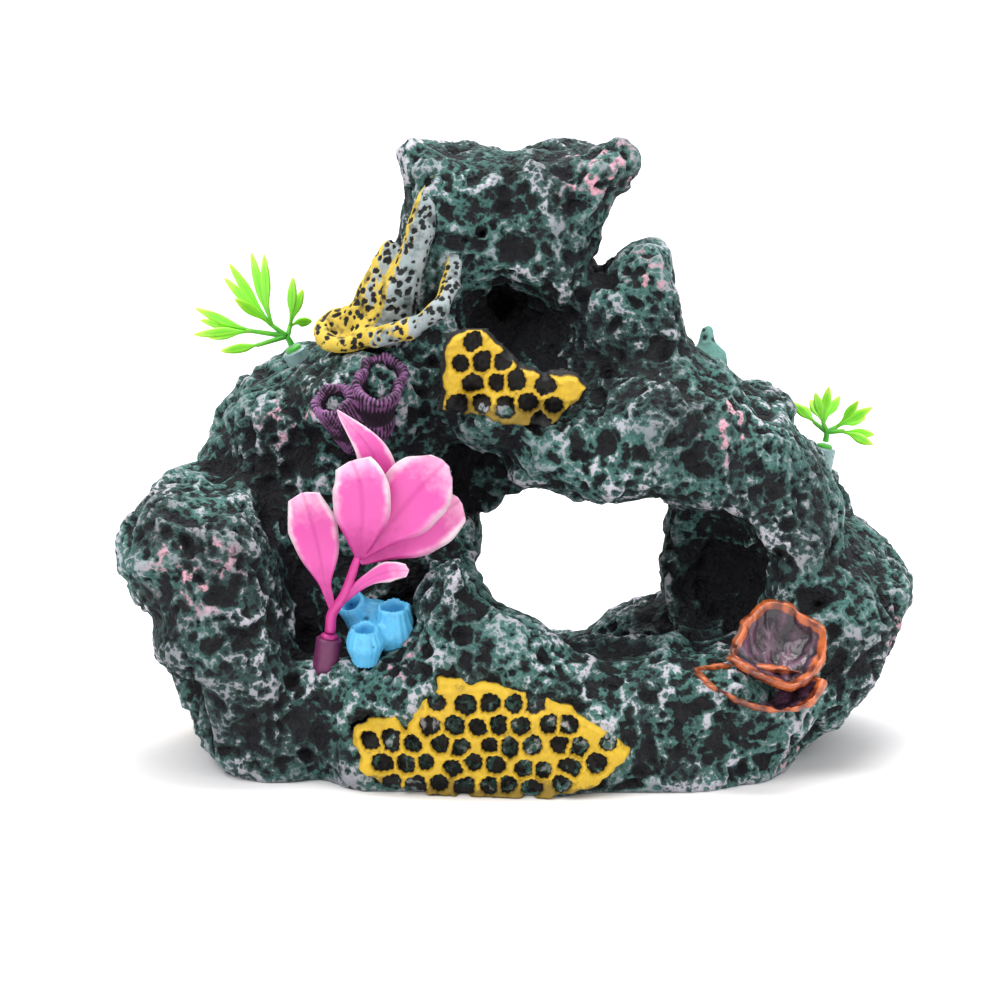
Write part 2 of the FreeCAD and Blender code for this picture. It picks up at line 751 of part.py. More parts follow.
def tube_cluster(tubes, wall, foot_radius, mouth_radii, wave, keep, feet=()):
    """Tube sponges that share a foot: each is a (start, mouth) pair."""
    added, taken = list(feet), []
    for (start, mouth), radius in zip(tubes, mouth_radii):
        added.append(cup(start, mouth, foot_radius, radius, wave))
        deep = tuple(m + (s - m) * 0.62 for s, m in zip(start, mouth))
        past = tuple(m + (m - s) * 0.3 for s, m in zip(start, mouth))
        taken.append(cup(deep, past, radius * 0.45, radius - wall))
    low, high = bounds_of([p for pair in tubes for p in pair], max(mouth_radii) + 3)
    return grown(low, high, TUBE_STEP, added, taken, keep, blend=1.5)


def plate_coral():
    """The orange plate coral: two shallow dishes, one above the other, on one foot."""
    added = [blob((73, -44, 42), (12.5, 11, 8)), blob((67, -49, 31), (17.5, 10.5, 8.5)),
             blob((76, -44, 32), (9, 9, 9))]
    taken = [blob((73, -50, 46.5), (10.5, 9.5, 7)), blob((66, -55, 36.5), (13, 8.5, 6))]
    return grown((44, -60, 16), (92, -26, 56), TUBE_STEP, added, taken, 1500, blend=2.0,
                 rough=0.8, rough_width=6.0)


def finger_coral():
    """The yellow finger coral up the side of the tower, with the ring at its foot."""
    added = (limb([(-31, -10, 116), (-28, -14, 130), (-24, -14, 146), (-20.7, -10, 159)], 5.0, 3.0)
             + limb([(-44, -10, 116), (-38, -12, 129), (-32, -10, 142)], 4.5, 2.4)
             + limb([(-37, -14, 118), (-31, -16, 130), (-27, -16, 137)], 3.6, 2.2)
             + limb([(-36, -20, 118), (-26, -25, 121), (-19, -26, 126), (-15.5, -20, 132), (-14.5, -14, 138)],
                    3.2, 2.2)
             + [ring((-45, -13, 119), (-0.1, -0.55, 0.8), 6.0, 2.6)])
    return grown((-58, -34, 106), (-8, 2, 166), BRANCH_STEP, added, [], 2200, blend=2.0,
                 rough=0.5, rough_width=4.0)


def fin_coral():
    """The small upright coral on the back of the arch."""
    added = (limb([(56, 20, 92), (56, 26, 103), (57, 29, 112)], 5.0, 2.4)
             + limb([(58, 22, 92), (60, 27, 100), (61, 29, 106)], 3.6, 2.0))
    return grown((44, 10, 84), (70, 40, 120), BRANCH_STEP, added, [], 500, blend=3.0,
                 rough=0.5, rough_width=5.0)


def rear_cup():
    """The glossy cup coral on the right-hand side at the back."""
    added = [cup((93, 24, 42), (104, 33, 52), 4.0, 7.5, 1.0, 3)]
    taken = [cup((99, 29, 47.4), (108, 36.5, 55.6), 2.0, 6.4)]
    return grown((84, 14, 32), (116, 46, 64), BRANCH_STEP, added, taken, 700, blend=1.0,
                 rough=0.5, rough_width=5.0)


def side_patch():
    """The yellow patch of coral low on the left-hand side, towards the back."""
    rock_column = casting()

    def column(x, z):
        at_rock = rock_column(x, z)
        patch = blob((-93, 12, 15), (16, 12, 9))(x, z)
        return lambda y: max(patch(y), at_rock(y) - 2.4, -CRUST_ROOT - at_rock(y))
    return grown((-106, -6, 2), (-76, 30, 30), BRANCH_STEP, [column], [], 500, blend=1.0,
                 rough=0.4, rough_width=4.0)


# ---------------------------------------------------------------- plants
class Seat:
    """Where a plant stands on the rock: the point, and the way it faces."""

    def __init__(self, inside, axis):
        self.axis = V(*axis).normalize()
        self.foot = surface_point(inside, axis)

    def at(self, height):
        return self.foot + self.axis * height


def sleeve(seat, height):
    """The soft sleeve: a plug that fills the rock's hole, with a bore for the plant's pin."""
    foot = PLUG_END_GAP - SOCKET_DEPTH
    r = PLUG_RADIUS
    profile = [(r - CHAMFER, foot), (r, foot + 2 * CHAMFER), (r, height - CHAMFER), (r - CHAMFER, height),
               (BORE_RADIUS, height), (BORE_RADIUS, height - PIN_LENGTH - PIN_END_GAP)]
    return lathe(profile, seat.foot, seat.axis)


def pin(seat, height):
    """The pin that turns in the sleeve, with the collar that rests on it."""
    r = BORE_RADIUS - PIN_CLEARANCE
    under_collar = height + PIN_CLEARANCE
    profile = [(r - CHAMFER, height - PIN_LENGTH), (r, height - PIN_LENGTH + CHAMFER), (r, under_collar),
               (COLLAR_RADIUS, under_collar), (COLLAR_RADIUS, height + COLLAR_HEIGHT - CHAMFER),
               (r, height + COLLAR_HEIGHT)]
    return lathe(profile, seat.foot, seat.axis)


def spray_start(seat, height):
    """Where the flexible stem begins: just clear of the collar."""
    return seat.at(height + COLLAR_HEIGHT + NECK_GAP)


def hole(seat):
    """What is bored out of the rock for a sleeve."""
    return prism(seat.at(-SOCKET_DEPTH), seat.axis, PLUG_RADIUS + PLUG_CLEARANCE, SOCKET_DEPTH + 30)


def leaflet(start, bend, tip, width=1.5):
    """A narrow lance-shaped leaflet on its stalk."""
    tip = V(*tip)
    belly = bend + (tip - bend) * 0.42
    widths = [0.42, 0.45, width, width * 0.5, 0.06]
    return blade([start, bend, belly, tip], widths, LEAFLET_THICK, 0.15, count=6)


def green_spray(seat, height, fronds):
    """A feathery spray as one moulding: a stem, its branches, and the leaflets on each."""
    start = spray_start(seat, height)
    first = V(*fronds[0][0])
    solid = round_skin([start, start + seat.axis * STRAIGHT_NECK, first], [0.95, 0.85, 0.8], 8, 5)
    for joint, branch, tips in fronds:
        joint, branch = V(*joint), V(*branch)
        solid = solid.fuse(round_skin([joint, (joint + branch) * 0.5, branch], [0.8, 0.6], 7, 3))
        for tip in tips:
            bend = branch + (V(*tip) - branch) * 0.3
            solid = solid.fuse(leaflet(joint * 0.25 + branch * 0.75, bend, tip))
    return only_solid(solid)


def only_solid(shape):
    return max(shape.Solids, key=lambda s: s.Volume)


def rest_on(part, *others):
    """Trims a part to the faces of those it is bonded to."""
    for other in others:
        part = part.cut(other)
    return only_solid(part)


# ---------------------------------------------------------------- the assembly
def seats():
    return {"pink": Seat((-51, -40, 20), (0.14, -0.06, 1.0)),
            "green_left": Seat((-54, 8, 98), (-0.42, -0.1, 0.9)),
            "green_right": Seat((87, 27, 60), (0.2, 0.05, 1.0))}


PURPLE_TUBES = [((-41, -18, 88), (-48, -31, 103)), ((-37, -18, 93), (-35, -32, 107.5)),
                ((-36, -15, 98), (-33.5, -25.5, 109.8))]
PURPLE_FEET = [blob((-38, -19, 97), (8, 9, 9)), blob((-36, -16, 103), (6, 8, 6.5))]
BLUE_TUBES = [((-38.4, -45, 33), (-38.4, -49, 44)), ((-31, -38, 35), (-31, -42, 48.5)),
              ((-38, -30, 38), (-43, -36, 48))]
BLUE_FEET = [blob((-31, -40, 41), (6.4, 6.4, 6)), blob((-38.4, -47, 39), (5.2, 5.2, 4.4)),
             blob((-37, -33, 42), (6.5, 6, 6))]


def corals():
    """Every coral before it is trimmed to the rock."""
    return {
        "honeycomb_front": honeycomb(HONEYCOMB_FRONT, (-46, -72, -3), (38, -36, 36), -30.0, 3000),
        "honeycomb_upper": honeycomb(HONEYCOMB_UPPER, (-22, -54, 90), (26, -12, 128), -16.0, 1800),
        "tube_coral_purple": tube_cluster(PURPLE_TUBES, 1.3, 4.2, [5.9, 6.9, 6.8], 0.7, 1900, PURPLE_FEET),
        "tube_sponge_blue": tube_cluster(BLUE_TUBES, 1.2, 3.6, [4.0, 4.8, 4.2], 0.3, 1400, BLUE_FEET),
        "plate_coral_orange": plate_coral(),
        "finger_coral_yellow": finger_coral(),
        "fin_coral_rear": fin_coral(),
        "cup_coral_rear": rear_cup(),
        "coral_patch_side": side_patch(),
    }


# Each pink leaf's path, its half-widths along that path, and how far it is dished.
PINK_LEAVES = {
    "leaf_pink_centre": ([(-39.8, -46.2, 62), (-38.7, -51, 74), (-39.1, -53, 83.5), (-41.2, -51, 89.5)],
                         [1.0, 5.2, 7.8, 7.4, 2.6], 0.2),
    "leaf_pink_top": ([(-39.4, -45.8, 64), (-35, -46, 75), (-34.4, -47, 83.5), (-36.5, -48, 92),
                       (-45.4, -47, 102.5)], [0.8, 3.0, 5.8, 5.0, 2.8, 0.2], 0.25),
    "leaf_pink_right": ([(-39.2, -46.6, 62.5), (-30, -49.5, 74), (-23.5, -50.5, 82), (-16.6, -49, 88.6)],
                        [0.9, 5.6, 9.6, 8.6, 2.8], 0.16),
    "leaf_pink_low_right": ([(-39.6, -46, 61), (-28, -46, 68), (-20, -46, 73), (-12.8, -45, 77.6)],
                            [0.9, 4.6, 8.0, 7.4, 2.6], 0.16),
    "leaf_pink_left": ([(-47.0, -42.4, 46.5), (-49.2, -43.5, 55), (-51.3, -45, 67), (-54.8, -44, 79.5)],
                       [0.9, 1.7, 6.0, 6.8, 2.2], 0.22),
    "leaf_pink_small": ([(-45.6, -43, 49), (-38.5, -45.5, 55.5), (-32, -48.5, 59), (-26.5, -50, 59.6)],
                        [1.0, 1.3, 1.8, 3.0, 0.8], 0.1),
}


def pink_plant(seat):
    """The stem and the six leaves of the pink plant."""
    start = spray_start(seat, PINK_SLEEVE)
    stem = [start, start + seat.axis * STRAIGHT_NECK, V(-47.4, -42, 46), V(-44, -43.5, 51.5),
            V(-41, -45.5, 60), V(-39.3, -46.5, 65)]
    parts = {"stem_pink": round_skin(stem, [1.5, 1.4, 1.3, 1.2, 0.8], 10, 10)}
    for name, (path, widths, dish) in PINK_LEAVES.items():
        parts[name] = rest_on(blade(path, widths, LEAF_THICK, dish), *parts.values())
    return parts


# The green sprays: where each branch leaves the stem, where it ends, and the tips of its leaflets.
GREEN_LEFT_FRONDS = [
    ((-61.8, 6.2, 114.4), (-66.9, 5, 118.5),
     [(-71.1, 2, 138.6), (-67.3, -1, 138.4), (-77.6, 6, 135.0), (-79.3, 9, 130.5), (-75.5, -4, 126.5)]),
    ((-61.8, 6.8, 113.4), (-60.8, 9, 117.8), [(-59.8, 6, 131.1), (-57.4, 11, 127.0), (-55.2, 14, 117.5)]),
    ((-61.8, 6.2, 114.4), (-73.2, 3, 116.6),
     [(-86.7, 0, 123.2), (-87.0, -3, 116.2), (-85.9, 6, 119.0), (-83.6, 8, 113.6)]),
    ((-61.8, 6.2, 114.4), (-70.0, 2, 112.4), [(-79.6, -3, 111.6), (-78.0, 6, 110.6)]),
]
GREEN_RIGHT_FRONDS = [
    ((91.5, 28.1, 83.4), (90.2, 27.4, 86.6),
     [(91.5, 24, 97.4), (95.3, 30, 93.6), (87.0, 33, 92.0), (87.6, 24, 95.6)]),
    ((91.5, 28.1, 83.4), (95.2, 28.6, 85.4), [(104.2, 26, 91.0), (103.0, 32, 87.0), (99.8, 22, 93.6)]),
    ((91.5, 28.1, 83.4), (96.6, 27.6, 83.8), [(105.0, 26, 83.0), (104.4, 23.6, 80.4)]),
    ((91.5, 28.1, 83.4), (87.8, 30.4, 86.0), [(81.8, 34.0, 91.2), (85.0, 37.0, 89.6)]),
]


def everything():
    """Every part by the name of its node, in the rock's own frame."""
    places = seats()
    stone = rock()
    for seat in places.values():
        stone = stone.cut(hole(seat))
    stone = only_solid(stone.cut(vent()))
    parts = {"rock_casting": stone}
    for name, coral in corals().items():
        parts[name] = rest_on(coral.cut(floor_block()), stone)
    for name, height in (("pink", PINK_SLEEVE), ("green_left", GREEN_SLEEVE), ("green_right", GREEN_SLEEVE)):
        parts["sleeve_" + name] = sleeve(places[name], height)
        parts["pin_" + name] = pin(places[name], height)
    parts.update(pink_plant(places["pink"]))
    parts["spray_green_left"] = green_spray(places["green_left"], GREEN_SLEEVE, GREEN_LEFT_FRONDS)
    parts["spray_green_right"] = green_spray(places["green_right"], GREEN_SLEEVE, GREEN_RIGHT_FRONDS)
    return parts, places


def placed(parts):
    """The shift that puts the middle of the footprint at the origin, and the parts moved by it."""
    box = FreeCAD.BoundBox()
    for part in parts.values():
        box.add(part.BoundBox)
    shift = V(-(box.XMin + box.XMax) / 2, -(box.YMin + box.YMax) / 2, -box.ZMin)
    return shift, {name: part.translated(shift) for name, part in parts.items()}


if __name__ == "__main__":
    os.makedirs("parts", exist_ok=True)
    for name, part in placed(everything()[0])[1].items():
        part.exportStep("parts/" + name + ".step")
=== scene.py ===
import json
import math

import bmesh
import bpy
import numpy as np
from mathutils import Matrix, Vector
from mathutils.bvhtree import BVHTree


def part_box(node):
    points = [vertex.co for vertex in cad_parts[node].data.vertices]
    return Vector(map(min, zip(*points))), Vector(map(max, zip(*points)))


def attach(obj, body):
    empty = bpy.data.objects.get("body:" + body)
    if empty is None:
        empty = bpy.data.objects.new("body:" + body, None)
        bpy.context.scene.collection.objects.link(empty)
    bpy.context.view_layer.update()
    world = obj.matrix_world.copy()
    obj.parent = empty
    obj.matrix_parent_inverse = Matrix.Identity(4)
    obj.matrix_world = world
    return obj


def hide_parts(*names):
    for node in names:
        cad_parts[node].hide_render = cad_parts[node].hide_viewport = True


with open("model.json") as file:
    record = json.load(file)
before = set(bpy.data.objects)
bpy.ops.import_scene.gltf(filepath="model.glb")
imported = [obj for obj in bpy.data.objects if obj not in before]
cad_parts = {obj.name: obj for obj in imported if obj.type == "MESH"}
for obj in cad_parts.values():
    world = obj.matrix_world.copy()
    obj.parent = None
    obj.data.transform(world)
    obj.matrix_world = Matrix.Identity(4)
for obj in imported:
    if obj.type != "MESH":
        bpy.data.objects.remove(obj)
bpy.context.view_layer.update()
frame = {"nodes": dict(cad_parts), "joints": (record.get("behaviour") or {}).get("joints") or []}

MM = 0.001
# The shapes below are drawn in the casting's own frame, in millimetres. The row's frame is this far from it.
SHIFT = np.array((-2.843, 8.780, 0.0))

ROCK_VOXEL = 1.0           # spacing of the rock's surface points before it is thinned
ROCK_TRIANGLES = 190000    # triangles kept on the rock
CORAL_VOXEL = 0.62         # the same for the corals
AO_RAYS = 14               # rays that measure how open each point of the rock is, for its painted shade
AO_REACH = 45.0            # how far they look, in millimetres


# ---------------------------------------------------------------- noise
def hashed(i, j, k, seed):
    """A fixed pseudo-random number from 0 to 1 for each lattice point."""
    n = (i.astype(np.int64) * 374761393 + j.astype(np.int64) * 668265263
         + k.astype(np.int64) * 2147483647 + seed * 974711) & 0xFFFFFFFF
    n = ((n ^ (n >> 13)) * 1274126177) & 0xFFFFFFFF
    return ((n ^ (n >> 16)) & 0xFFFF) / 65535.0


def lumps(p, width, seed=0):
    """Smooth noise from -1 to 1 with lumps of this width, at points in millimetres."""
    q = p / width
    cell = np.floor(q)
    f = q - cell
    f = f * f * (3 - 2 * f)
    total = np.zeros(len(p))
    for di in (0, 1):
        for dj in (0, 1):
            for dk in (0, 1):
                weight = (np.abs(1 - di - f[:, 0]) * np.abs(1 - dj - f[:, 1]) * np.abs(1 - dk - f[:, 2]))
                total += weight * hashed(cell[:, 0] + di, cell[:, 1] + dj, cell[:, 2] + dk, seed)
    return total * 2 - 1


def fractal(p, width, octaves=3, seed=0):
    total, size, weight = np.zeros(len(p)), width, 1.0
    for n in range(octaves):
        total += weight * lumps(p, size, seed + n)
        size *= 0.5
        weight *= 0.5
    return total


def pores(p, pitch, least, most, chance, seed):
    """Round pits scattered through space: how deep each point lies in one, from 0 to 1."""
    cell = np.floor(p / pitch)
    depth = np.zeros(len(p))
    for di in (-1, 0, 1):
        for dj in (-1, 0, 1):
            for dk in (-1, 0, 1):
                i, j, k = cell[:, 0] + di, cell[:, 1] + dj, cell[:, 2] + dk
                offset = np.stack([hashed(i, j, k, seed + n) for n in range(3)], axis=1)
                centre = (np.stack([i, j, k], axis=1) + offset) * pitch
                radius = least + (most - least) * hashed(i, j, k, seed + 3)
                there = hashed(i, j, k, seed + 4) < chance
                near = np.linalg.norm(p - centre, axis=1) / radius
                depth = np.maximum(depth, np.where(there, np.clip(1 - near * near, 0, 1), 0))
    return depth


def ramp(x, low, high):
    t = np.clip((x - low) / (high - low), 0, 1)
    return t * t * (3 - 2 * t)


# ---------------------------------------------------------------- meshes
def linked(name, mesh):
    piece = bpy.data.objects.new(name, mesh)
    bpy.context.scene.collection.objects.link(piece)
    return piece


def made(name, points, faces, smooth=True):
    """An object from points in millimetres in the casting's own frame."""
    mesh = bpy.data.meshes.new(name)
    mesh.from_pydata([tuple((np.asarray(p) + SHIFT) * MM) for p in points], [], faces)
    mesh.validate()
    mesh.polygons.foreach_set("use_smooth", [smooth] * len(mesh.polygons))
    return linked(name, mesh)


def refined_copy(node, name, voxel, smooth_steps, masses=()):
    """A copy of a CAD node as one even closed skin, its flat facets smoothed away, run together with any
    ellipsoids given as (centre, radii)."""
    mesh = frame["nodes"][node].data.copy()
    piece = linked(name, mesh)
    tidy = bmesh.new()
    tidy.from_mesh(mesh)
    bmesh.ops.remove_doubles(tidy, verts=tidy.verts, dist=1e-5)
    for centre, radii in masses:
        moved = Matrix.Translation((np.array(centre) + SHIFT) * MM)
        stretched = Matrix.Diagonal((*(r * MM for r in radii), 1.0))
        bmesh.ops.create_icosphere(tidy, subdivisions=3, radius=1.0, matrix=moved @ stretched)
    tidy.to_mesh(mesh)
    tidy.free()
    remesh = piece.modifiers.new("remesh", "REMESH")
    remesh.mode = "VOXEL"
    remesh.voxel_size = voxel * MM
    smooth = piece.modifiers.new("smooth", "SMOOTH")
    smooth.factor = 0.5
    smooth.iterations = smooth_steps
    return applied(piece)


def applied(piece):
    """Makes a piece's modifiers permanent."""
    seen = piece.evaluated_get(bpy.context.evaluated_depsgraph_get())
    mesh = bpy.data.meshes.new_from_object(seen)
    piece.modifiers.clear()
    piece.data = mesh
    mesh.materials.clear()
    mesh.polygons.foreach_set("use_smooth", [True] * len(mesh.polygons))
    return piece


def thinned(piece, triangles):
    """Thins a piece's mesh to about this many triangles."""
    has = sum(len(face.vertices) - 2 for face in piece.data.polygons)
    thin = piece.modifiers.new("thin", "DECIMATE")
    thin.ratio = min(1.0, triangles / has)
    applied(piece)


def points_of(piece):
    """A piece's points and normals, in millimetres in the casting's own frame."""
    mesh = piece.data
    co = np.zeros(len(mesh.vertices) * 3)
    mesh.vertices.foreach_get("co", co)
    no = np.zeros(len(mesh.vertices) * 3)
    mesh.vertices.foreach_get("normal", no)
    return co.reshape(-1, 3) / MM - SHIFT, no.reshape(-1, 3)


def set_points(piece, points):
    piece.data.vertices.foreach_set("co", ((points + SHIFT) * MM).ravel())
    piece.data.update()


def mark(piece, name, values):
    """Stores a number on each point, for the materials."""
    layer = piece.data.attributes.new(name, "FLOAT", "POINT")
    layer.data.foreach_set("value", np.asarray(values, dtype=np.float32))


def kept_inside(points, node, slack=0.0):
    """Points held within a CAD node's box."""
    low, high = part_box(node)
    return np.clip(points, np.array(low) / MM - SHIFT - slack, np.array(high) / MM - SHIFT + slack)


def stands_for(piece, body, node):
    """Puts a piece on a body in place of a CAD node."""
    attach(piece, body)
    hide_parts(node)


# ---------------------------------------------------------------- materials
class Shader:
    """A short way to write a node material."""

    def __init__(self, name):
        self.material = bpy.data.materials.new(name)
        self.material.use_nodes = True
        self.nodes, self.links = self.material.node_tree.nodes, self.material.node_tree.links
        self.out = self.nodes["Principled BSDF"]
        self.place = self.nodes.new("ShaderNodeTexCoord").outputs["Object"]

    def link(self, value, socket):
        if isinstance(value, bpy.types.NodeSocket):
            self.links.new(value, socket)
        else:
            socket.default_value = value

    def number(self, name):
        node = self.nodes.new("ShaderNodeAttribute")
        node.attribute_name = name
        return node.outputs["Fac"]

    def noise(self, width, detail=4.0, rough=0.6, at=None, warp=0.0):
        node = self.nodes.new("ShaderNodeTexNoise")
        self.link(at or self.place, node.inputs["Vector"])
        node.inputs["Scale"].default_value = 1.0 / (width * MM)
        node.inputs["Detail"].default_value = detail
        node.inputs["Roughness"].default_value = rough
        node.inputs["Distortion"].default_value = warp
        return node.outputs["Fac"]

    def cells(self, width, feature="F1", at=None):
        node = self.nodes.new("ShaderNodeTexVoronoi")
        node.feature = feature
        self.link(at or self.place, node.inputs["Vector"])
        node.inputs["Scale"].default_value = 1.0 / (width * MM)
        return node.outputs["Distance"]

    def warped(self, width, amount):
        """The place, pushed about by noise, so that patterns in it aren't regular."""
        node = self.nodes.new("ShaderNodeTexNoise")
        self.link(self.place, node.inputs["Vector"])
        node.inputs["Scale"].default_value = 1.0 / (width * MM)
        node.inputs["Detail"].default_value = 2.0
        push = self.nodes.new("ShaderNodeVectorMath")
        push.operation = "MULTIPLY_ADD"
        self.link(node.outputs["Color"], push.inputs[0])
        push.inputs[1].default_value = (amount * MM,) * 3
        self.link(self.place, push.inputs[2])
        return push.outputs["Vector"]

    def math(self, kind, a, b=0.0, clamp=False):
        node = self.nodes.new("ShaderNodeMath")
        node.operation = kind
        node.use_clamp = clamp
        self.link(a, node.inputs[0])
        self.link(b, node.inputs[1])
        return node.outputs[0]

    def steps(self, value, low, high, first=0.0, last=1.0):
        node = self.nodes.new("ShaderNodeMapRange")
        node.interpolation_type = "SMOOTHSTEP"
        self.link(value, node.inputs["Value"])
        node.inputs["From Min"].default_value = low
        node.inputs["From Max"].default_value = high
        node.inputs["To Min"].default_value = first
        node.inputs["To Max"].default_value = last
        return node.outputs["Result"]

    def blend(self, amount, a, b, kind="MIX"):
        node = self.nodes.new("ShaderNodeMix")
        node.data_type = "RGBA"
        node.blend_type = kind
        self.link(amount, node.inputs[0])
        for value, socket in ((a, node.inputs[6]), (b, node.inputs[7])):
            self.link(value if isinstance(value, bpy.types.NodeSocket) else (*value, 1.0), socket)
        return node.outputs[2]

    def scaled(self, value, by, plus=0.0):
        return self.math("ADD", self.math("MULTIPLY", value, by), plus)

    def swayed(self, value, noise, amount):
        """A value pushed up and down by noise from 0 to 1."""
        return self.math("ADD", value, self.math("MULTIPLY", self.math("SUBTRACT", noise, 0.5), amount))

    def finish(self, colour, rough, height=None, strength=0.5, depth=0.4, **constants):
        self.link(colour if isinstance(colour, bpy.types.NodeSocket) else (*colour, 1.0),
                  self.out.inputs["Base Color"])
        self.link(rough, self.out.inputs["Roughness"])
        if height is not None:
            bump = self.nodes.new("ShaderNodeBump")
            bump.inputs["Strength"].default_value = strength
            bump.inputs["Distance"].default_value = depth * MM
            self.link(height, bump.inputs["Height"])
            self.link(bump.outputs["Normal"], self.out.inputs["Normal"])
        for name, value in constants.items():
            self.out.inputs[name.replace("_", " ")].default_value = value
        return self.material


BLACK_RESIN = (0.01, 0.012, 0.014)


def rock_paint():
    """Black resin, a teal wash and pale lavender dry-brushing on what stands out, pink touches, painted shade
    in hollows.
    """
    s = Shader("rock_paint")
    level, shade_openness = s.number("level"), s.number("open")
    wander = s.warped(2.6, 1.6)
    web = s.cells(2.1, at=wander)
    fine_web = s.cells(1.1, at=wander)
    ridge = s.math("ADD", s.steps(web, 0.22, 0.62), s.math("MULTIPLY", s.steps(fine_web, 0.25, 0.62), 0.5))
    stroke = s.noise(1.2, 5.0, 0.75, warp=0.5)
    high = s.math("ADD", level, s.math("MULTIPLY", s.math("SUBTRACT", ridge, 0.85), 0.26))
    high = s.swayed(high, stroke, 0.85)
    high = s.swayed(high, s.noise(9.0, 3.0, 0.6), 0.7)
    # Partly real and partly painted shade: where the rock is shut in from the air, the wash and dry-brushing
    # fade to the black resin. The brush misses such hollows, and the painted shade stands in for the light
    # that doesn't reach them.
    high = s.math("SUBTRACT", high, s.steps(shade_openness, 0.22, 0.68, 1.0, 0.0))
    teal_patch = s.scaled(s.steps(s.noise(26.0, 2.0, 0.5), 0.38, 0.60), 0.65, 0.30)
    teal = s.math("MULTIPLY", s.steps(high, 0.50, 0.80), teal_patch)
    pale_patch = s.scaled(s.steps(s.noise(34.0, 2.0, 0.5, warp=0.4), 0.40, 0.60), 0.55, 0.35)
    pale = s.math("MULTIPLY", s.steps(high, 0.86, 1.10), pale_patch)
    pink = s.math("MULTIPLY", s.number("pink"), s.steps(s.noise(4.5, 3.0), 0.50, 0.62))
    pink = s.math("MULTIPLY", pink, s.steps(high, 0.70, 1.0))
    charcoal = s.blend(s.noise(3.0), (0.006, 0.0065, 0.008), (0.024, 0.025, 0.028))
    green = s.blend(s.noise(7.0, 3.0), (0.022, 0.088, 0.076), (0.115, 0.265, 0.235))
    grey = s.blend(s.noise(9.0, 3.0), (0.46, 0.49, 0.54), (0.66, 0.60, 0.68))
    colour = s.blend(teal, charcoal, green)
    colour = s.blend(pale, colour, grey)
    colour = s.blend(pink, colour, (0.74, 0.36, 0.45))
    height = s.math("ADD", s.math("MULTIPLY", ridge, 0.9), s.math("MULTIPLY", stroke, 0.7))
    return s.finish(colour, s.steps(stroke, 0.3, 0.7, 0.62, 0.88), height, 0.9, 0.8, Specular_IOR_Level=0.2)


def crust_paint(name, wall, wall_dark, hollow, bare_share):
    """Paint on a coral's raised walls, worn back to the black resin in its cells, with more bare patches on
    marked points.
    """
    s = Shader(name)
    stroke = s.noise(1.0, 4.0, 0.7, warp=0.4)
    covered = s.steps(s.swayed(s.number("relief"), stroke, 0.55), 0.30, 0.62)
    bare_patches = s.math("ADD", s.noise(4.0, 4.0, 0.65), s.math("MULTIPLY", s.number("bare_patches"), 0.4))
    bare_patches = s.steps(bare_patches, 0.56, 0.74)
    covered = s.math("MULTIPLY", covered, s.math("SUBTRACT", 1.0, s.math("MULTIPLY", bare_patches, bare_share)))
    paint = s.blend(s.noise(3.4, 3.0), wall_dark, wall)
    colour = s.blend(covered, hollow, paint)
    return s.finish(colour, s.steps(stroke, 0.3, 0.7, 0.5, 0.75), stroke, 0.5, 0.4, Specular_IOR_Level=0.4)


def finger_paint():
    """Yellow on the side that faces left, grey-teal on the other, black in the pores."""
    s = Shader("finger_paint")
    stroke = s.noise(1.0, 4.0, 0.7, warp=0.4)
    covered = s.steps(s.swayed(s.number("relief"), stroke, 0.6), 0.45, 0.85)
    thin = s.steps(s.noise(5.0, 3.0, 0.6), 0.50, 0.66, 1.0, 0.35)
    yellow = s.blend(s.noise(3.0, 3.0), (0.36, 0.29, 0.06), (0.80, 0.54, 0.04))
    grey = s.blend(s.noise(4.0, 3.0), (0.09, 0.20, 0.19), (0.48, 0.47, 0.50))
    sunny = s.steps(s.swayed(s.number("sunny"), stroke, 0.6), 0.3, 0.7)
    colour = s.blend(s.math("MULTIPLY", covered, thin), (0.010, 0.011, 0.011), s.blend(sunny, grey, yellow))
    return s.finish(colour, s.steps(stroke, 0.3, 0.7, 0.55, 0.8), stroke, 0.5, 0.4, Specular_IOR_Level=0.4)


def coral_paint(name, dark, light, rough, grain, strength, coat=0.0, bare=0.3):
    """One colour of paint, darker in the hollows, with the black resin showing through by bare in places."""
    s = Shader(name)
    mottle = s.noise(3.0, 4.0, 0.6)
    fine = s.noise(grain, 4.0, 0.65, warp=0.5)
    body = s.blend(s.steps(s.swayed(s.number("relief"), mottle, 0.7), 0.2, 0.8), dark, light)
    bare_patches = s.steps(s.math("ADD", mottle, s.math("MULTIPLY", fine, 0.4)), 0.74, 0.86)
    colour = s.blend(s.math("MULTIPLY", bare_patches, bare), body, BLACK_RESIN)
    return s.finish(colour, s.steps(fine, 0.3, 0.7, rough - 0.08, rough + 0.08), fine, strength, 0.35,
                    Coat_Weight=coat, Coat_Roughness=0.12)


def leaf_plastic(name, root, middle, tip, edge, glow):
    """Soft plastic dyed from the stalk to the tip, with veins. Light comes through it by glow."""
    s = Shader(name)
    along, across = s.number("along"), s.number("across")
    streak = s.noise(2.6, 3.0, 0.6)
    place = s.swayed(along, streak, 0.30)
    colour = s.blend(s.steps(place, 0.05, 0.5), root, middle)
    colour = s.blend(s.steps(place, 0.72, 1.05), colour, tip)
    rim = s.steps(s.swayed(across, s.noise(5.0, 2.0), 0.5), 0.66, 1.02)
    colour = s.blend(s.math("MULTIPLY", rim, s.steps(along, 0.3, 0.75, 0.0, 0.85)), colour, edge)
    vein = s.math("MULTIPLY", s.steps(across, 0.0, 0.16, 1.0, 0.0), 0.35)
    colour = s.blend(vein, colour, root)
    ribs = s.math("SINE", s.math("ADD", s.math("MULTIPLY", along, 46.0), s.math("MULTIPLY", across, 9.0)))
    height = s.math("ADD", s.math("MULTIPLY", ribs, 0.12), streak)
    s.link(colour, s.out.inputs["Subsurface Radius"])
    return s.finish(colour, s.steps(streak, 0.3, 0.7, 0.30, 0.42), height, 0.22, 0.3,
                    Subsurface_Weight=glow, Subsurface_Scale=0.002, Specular_IOR_Level=0.45)


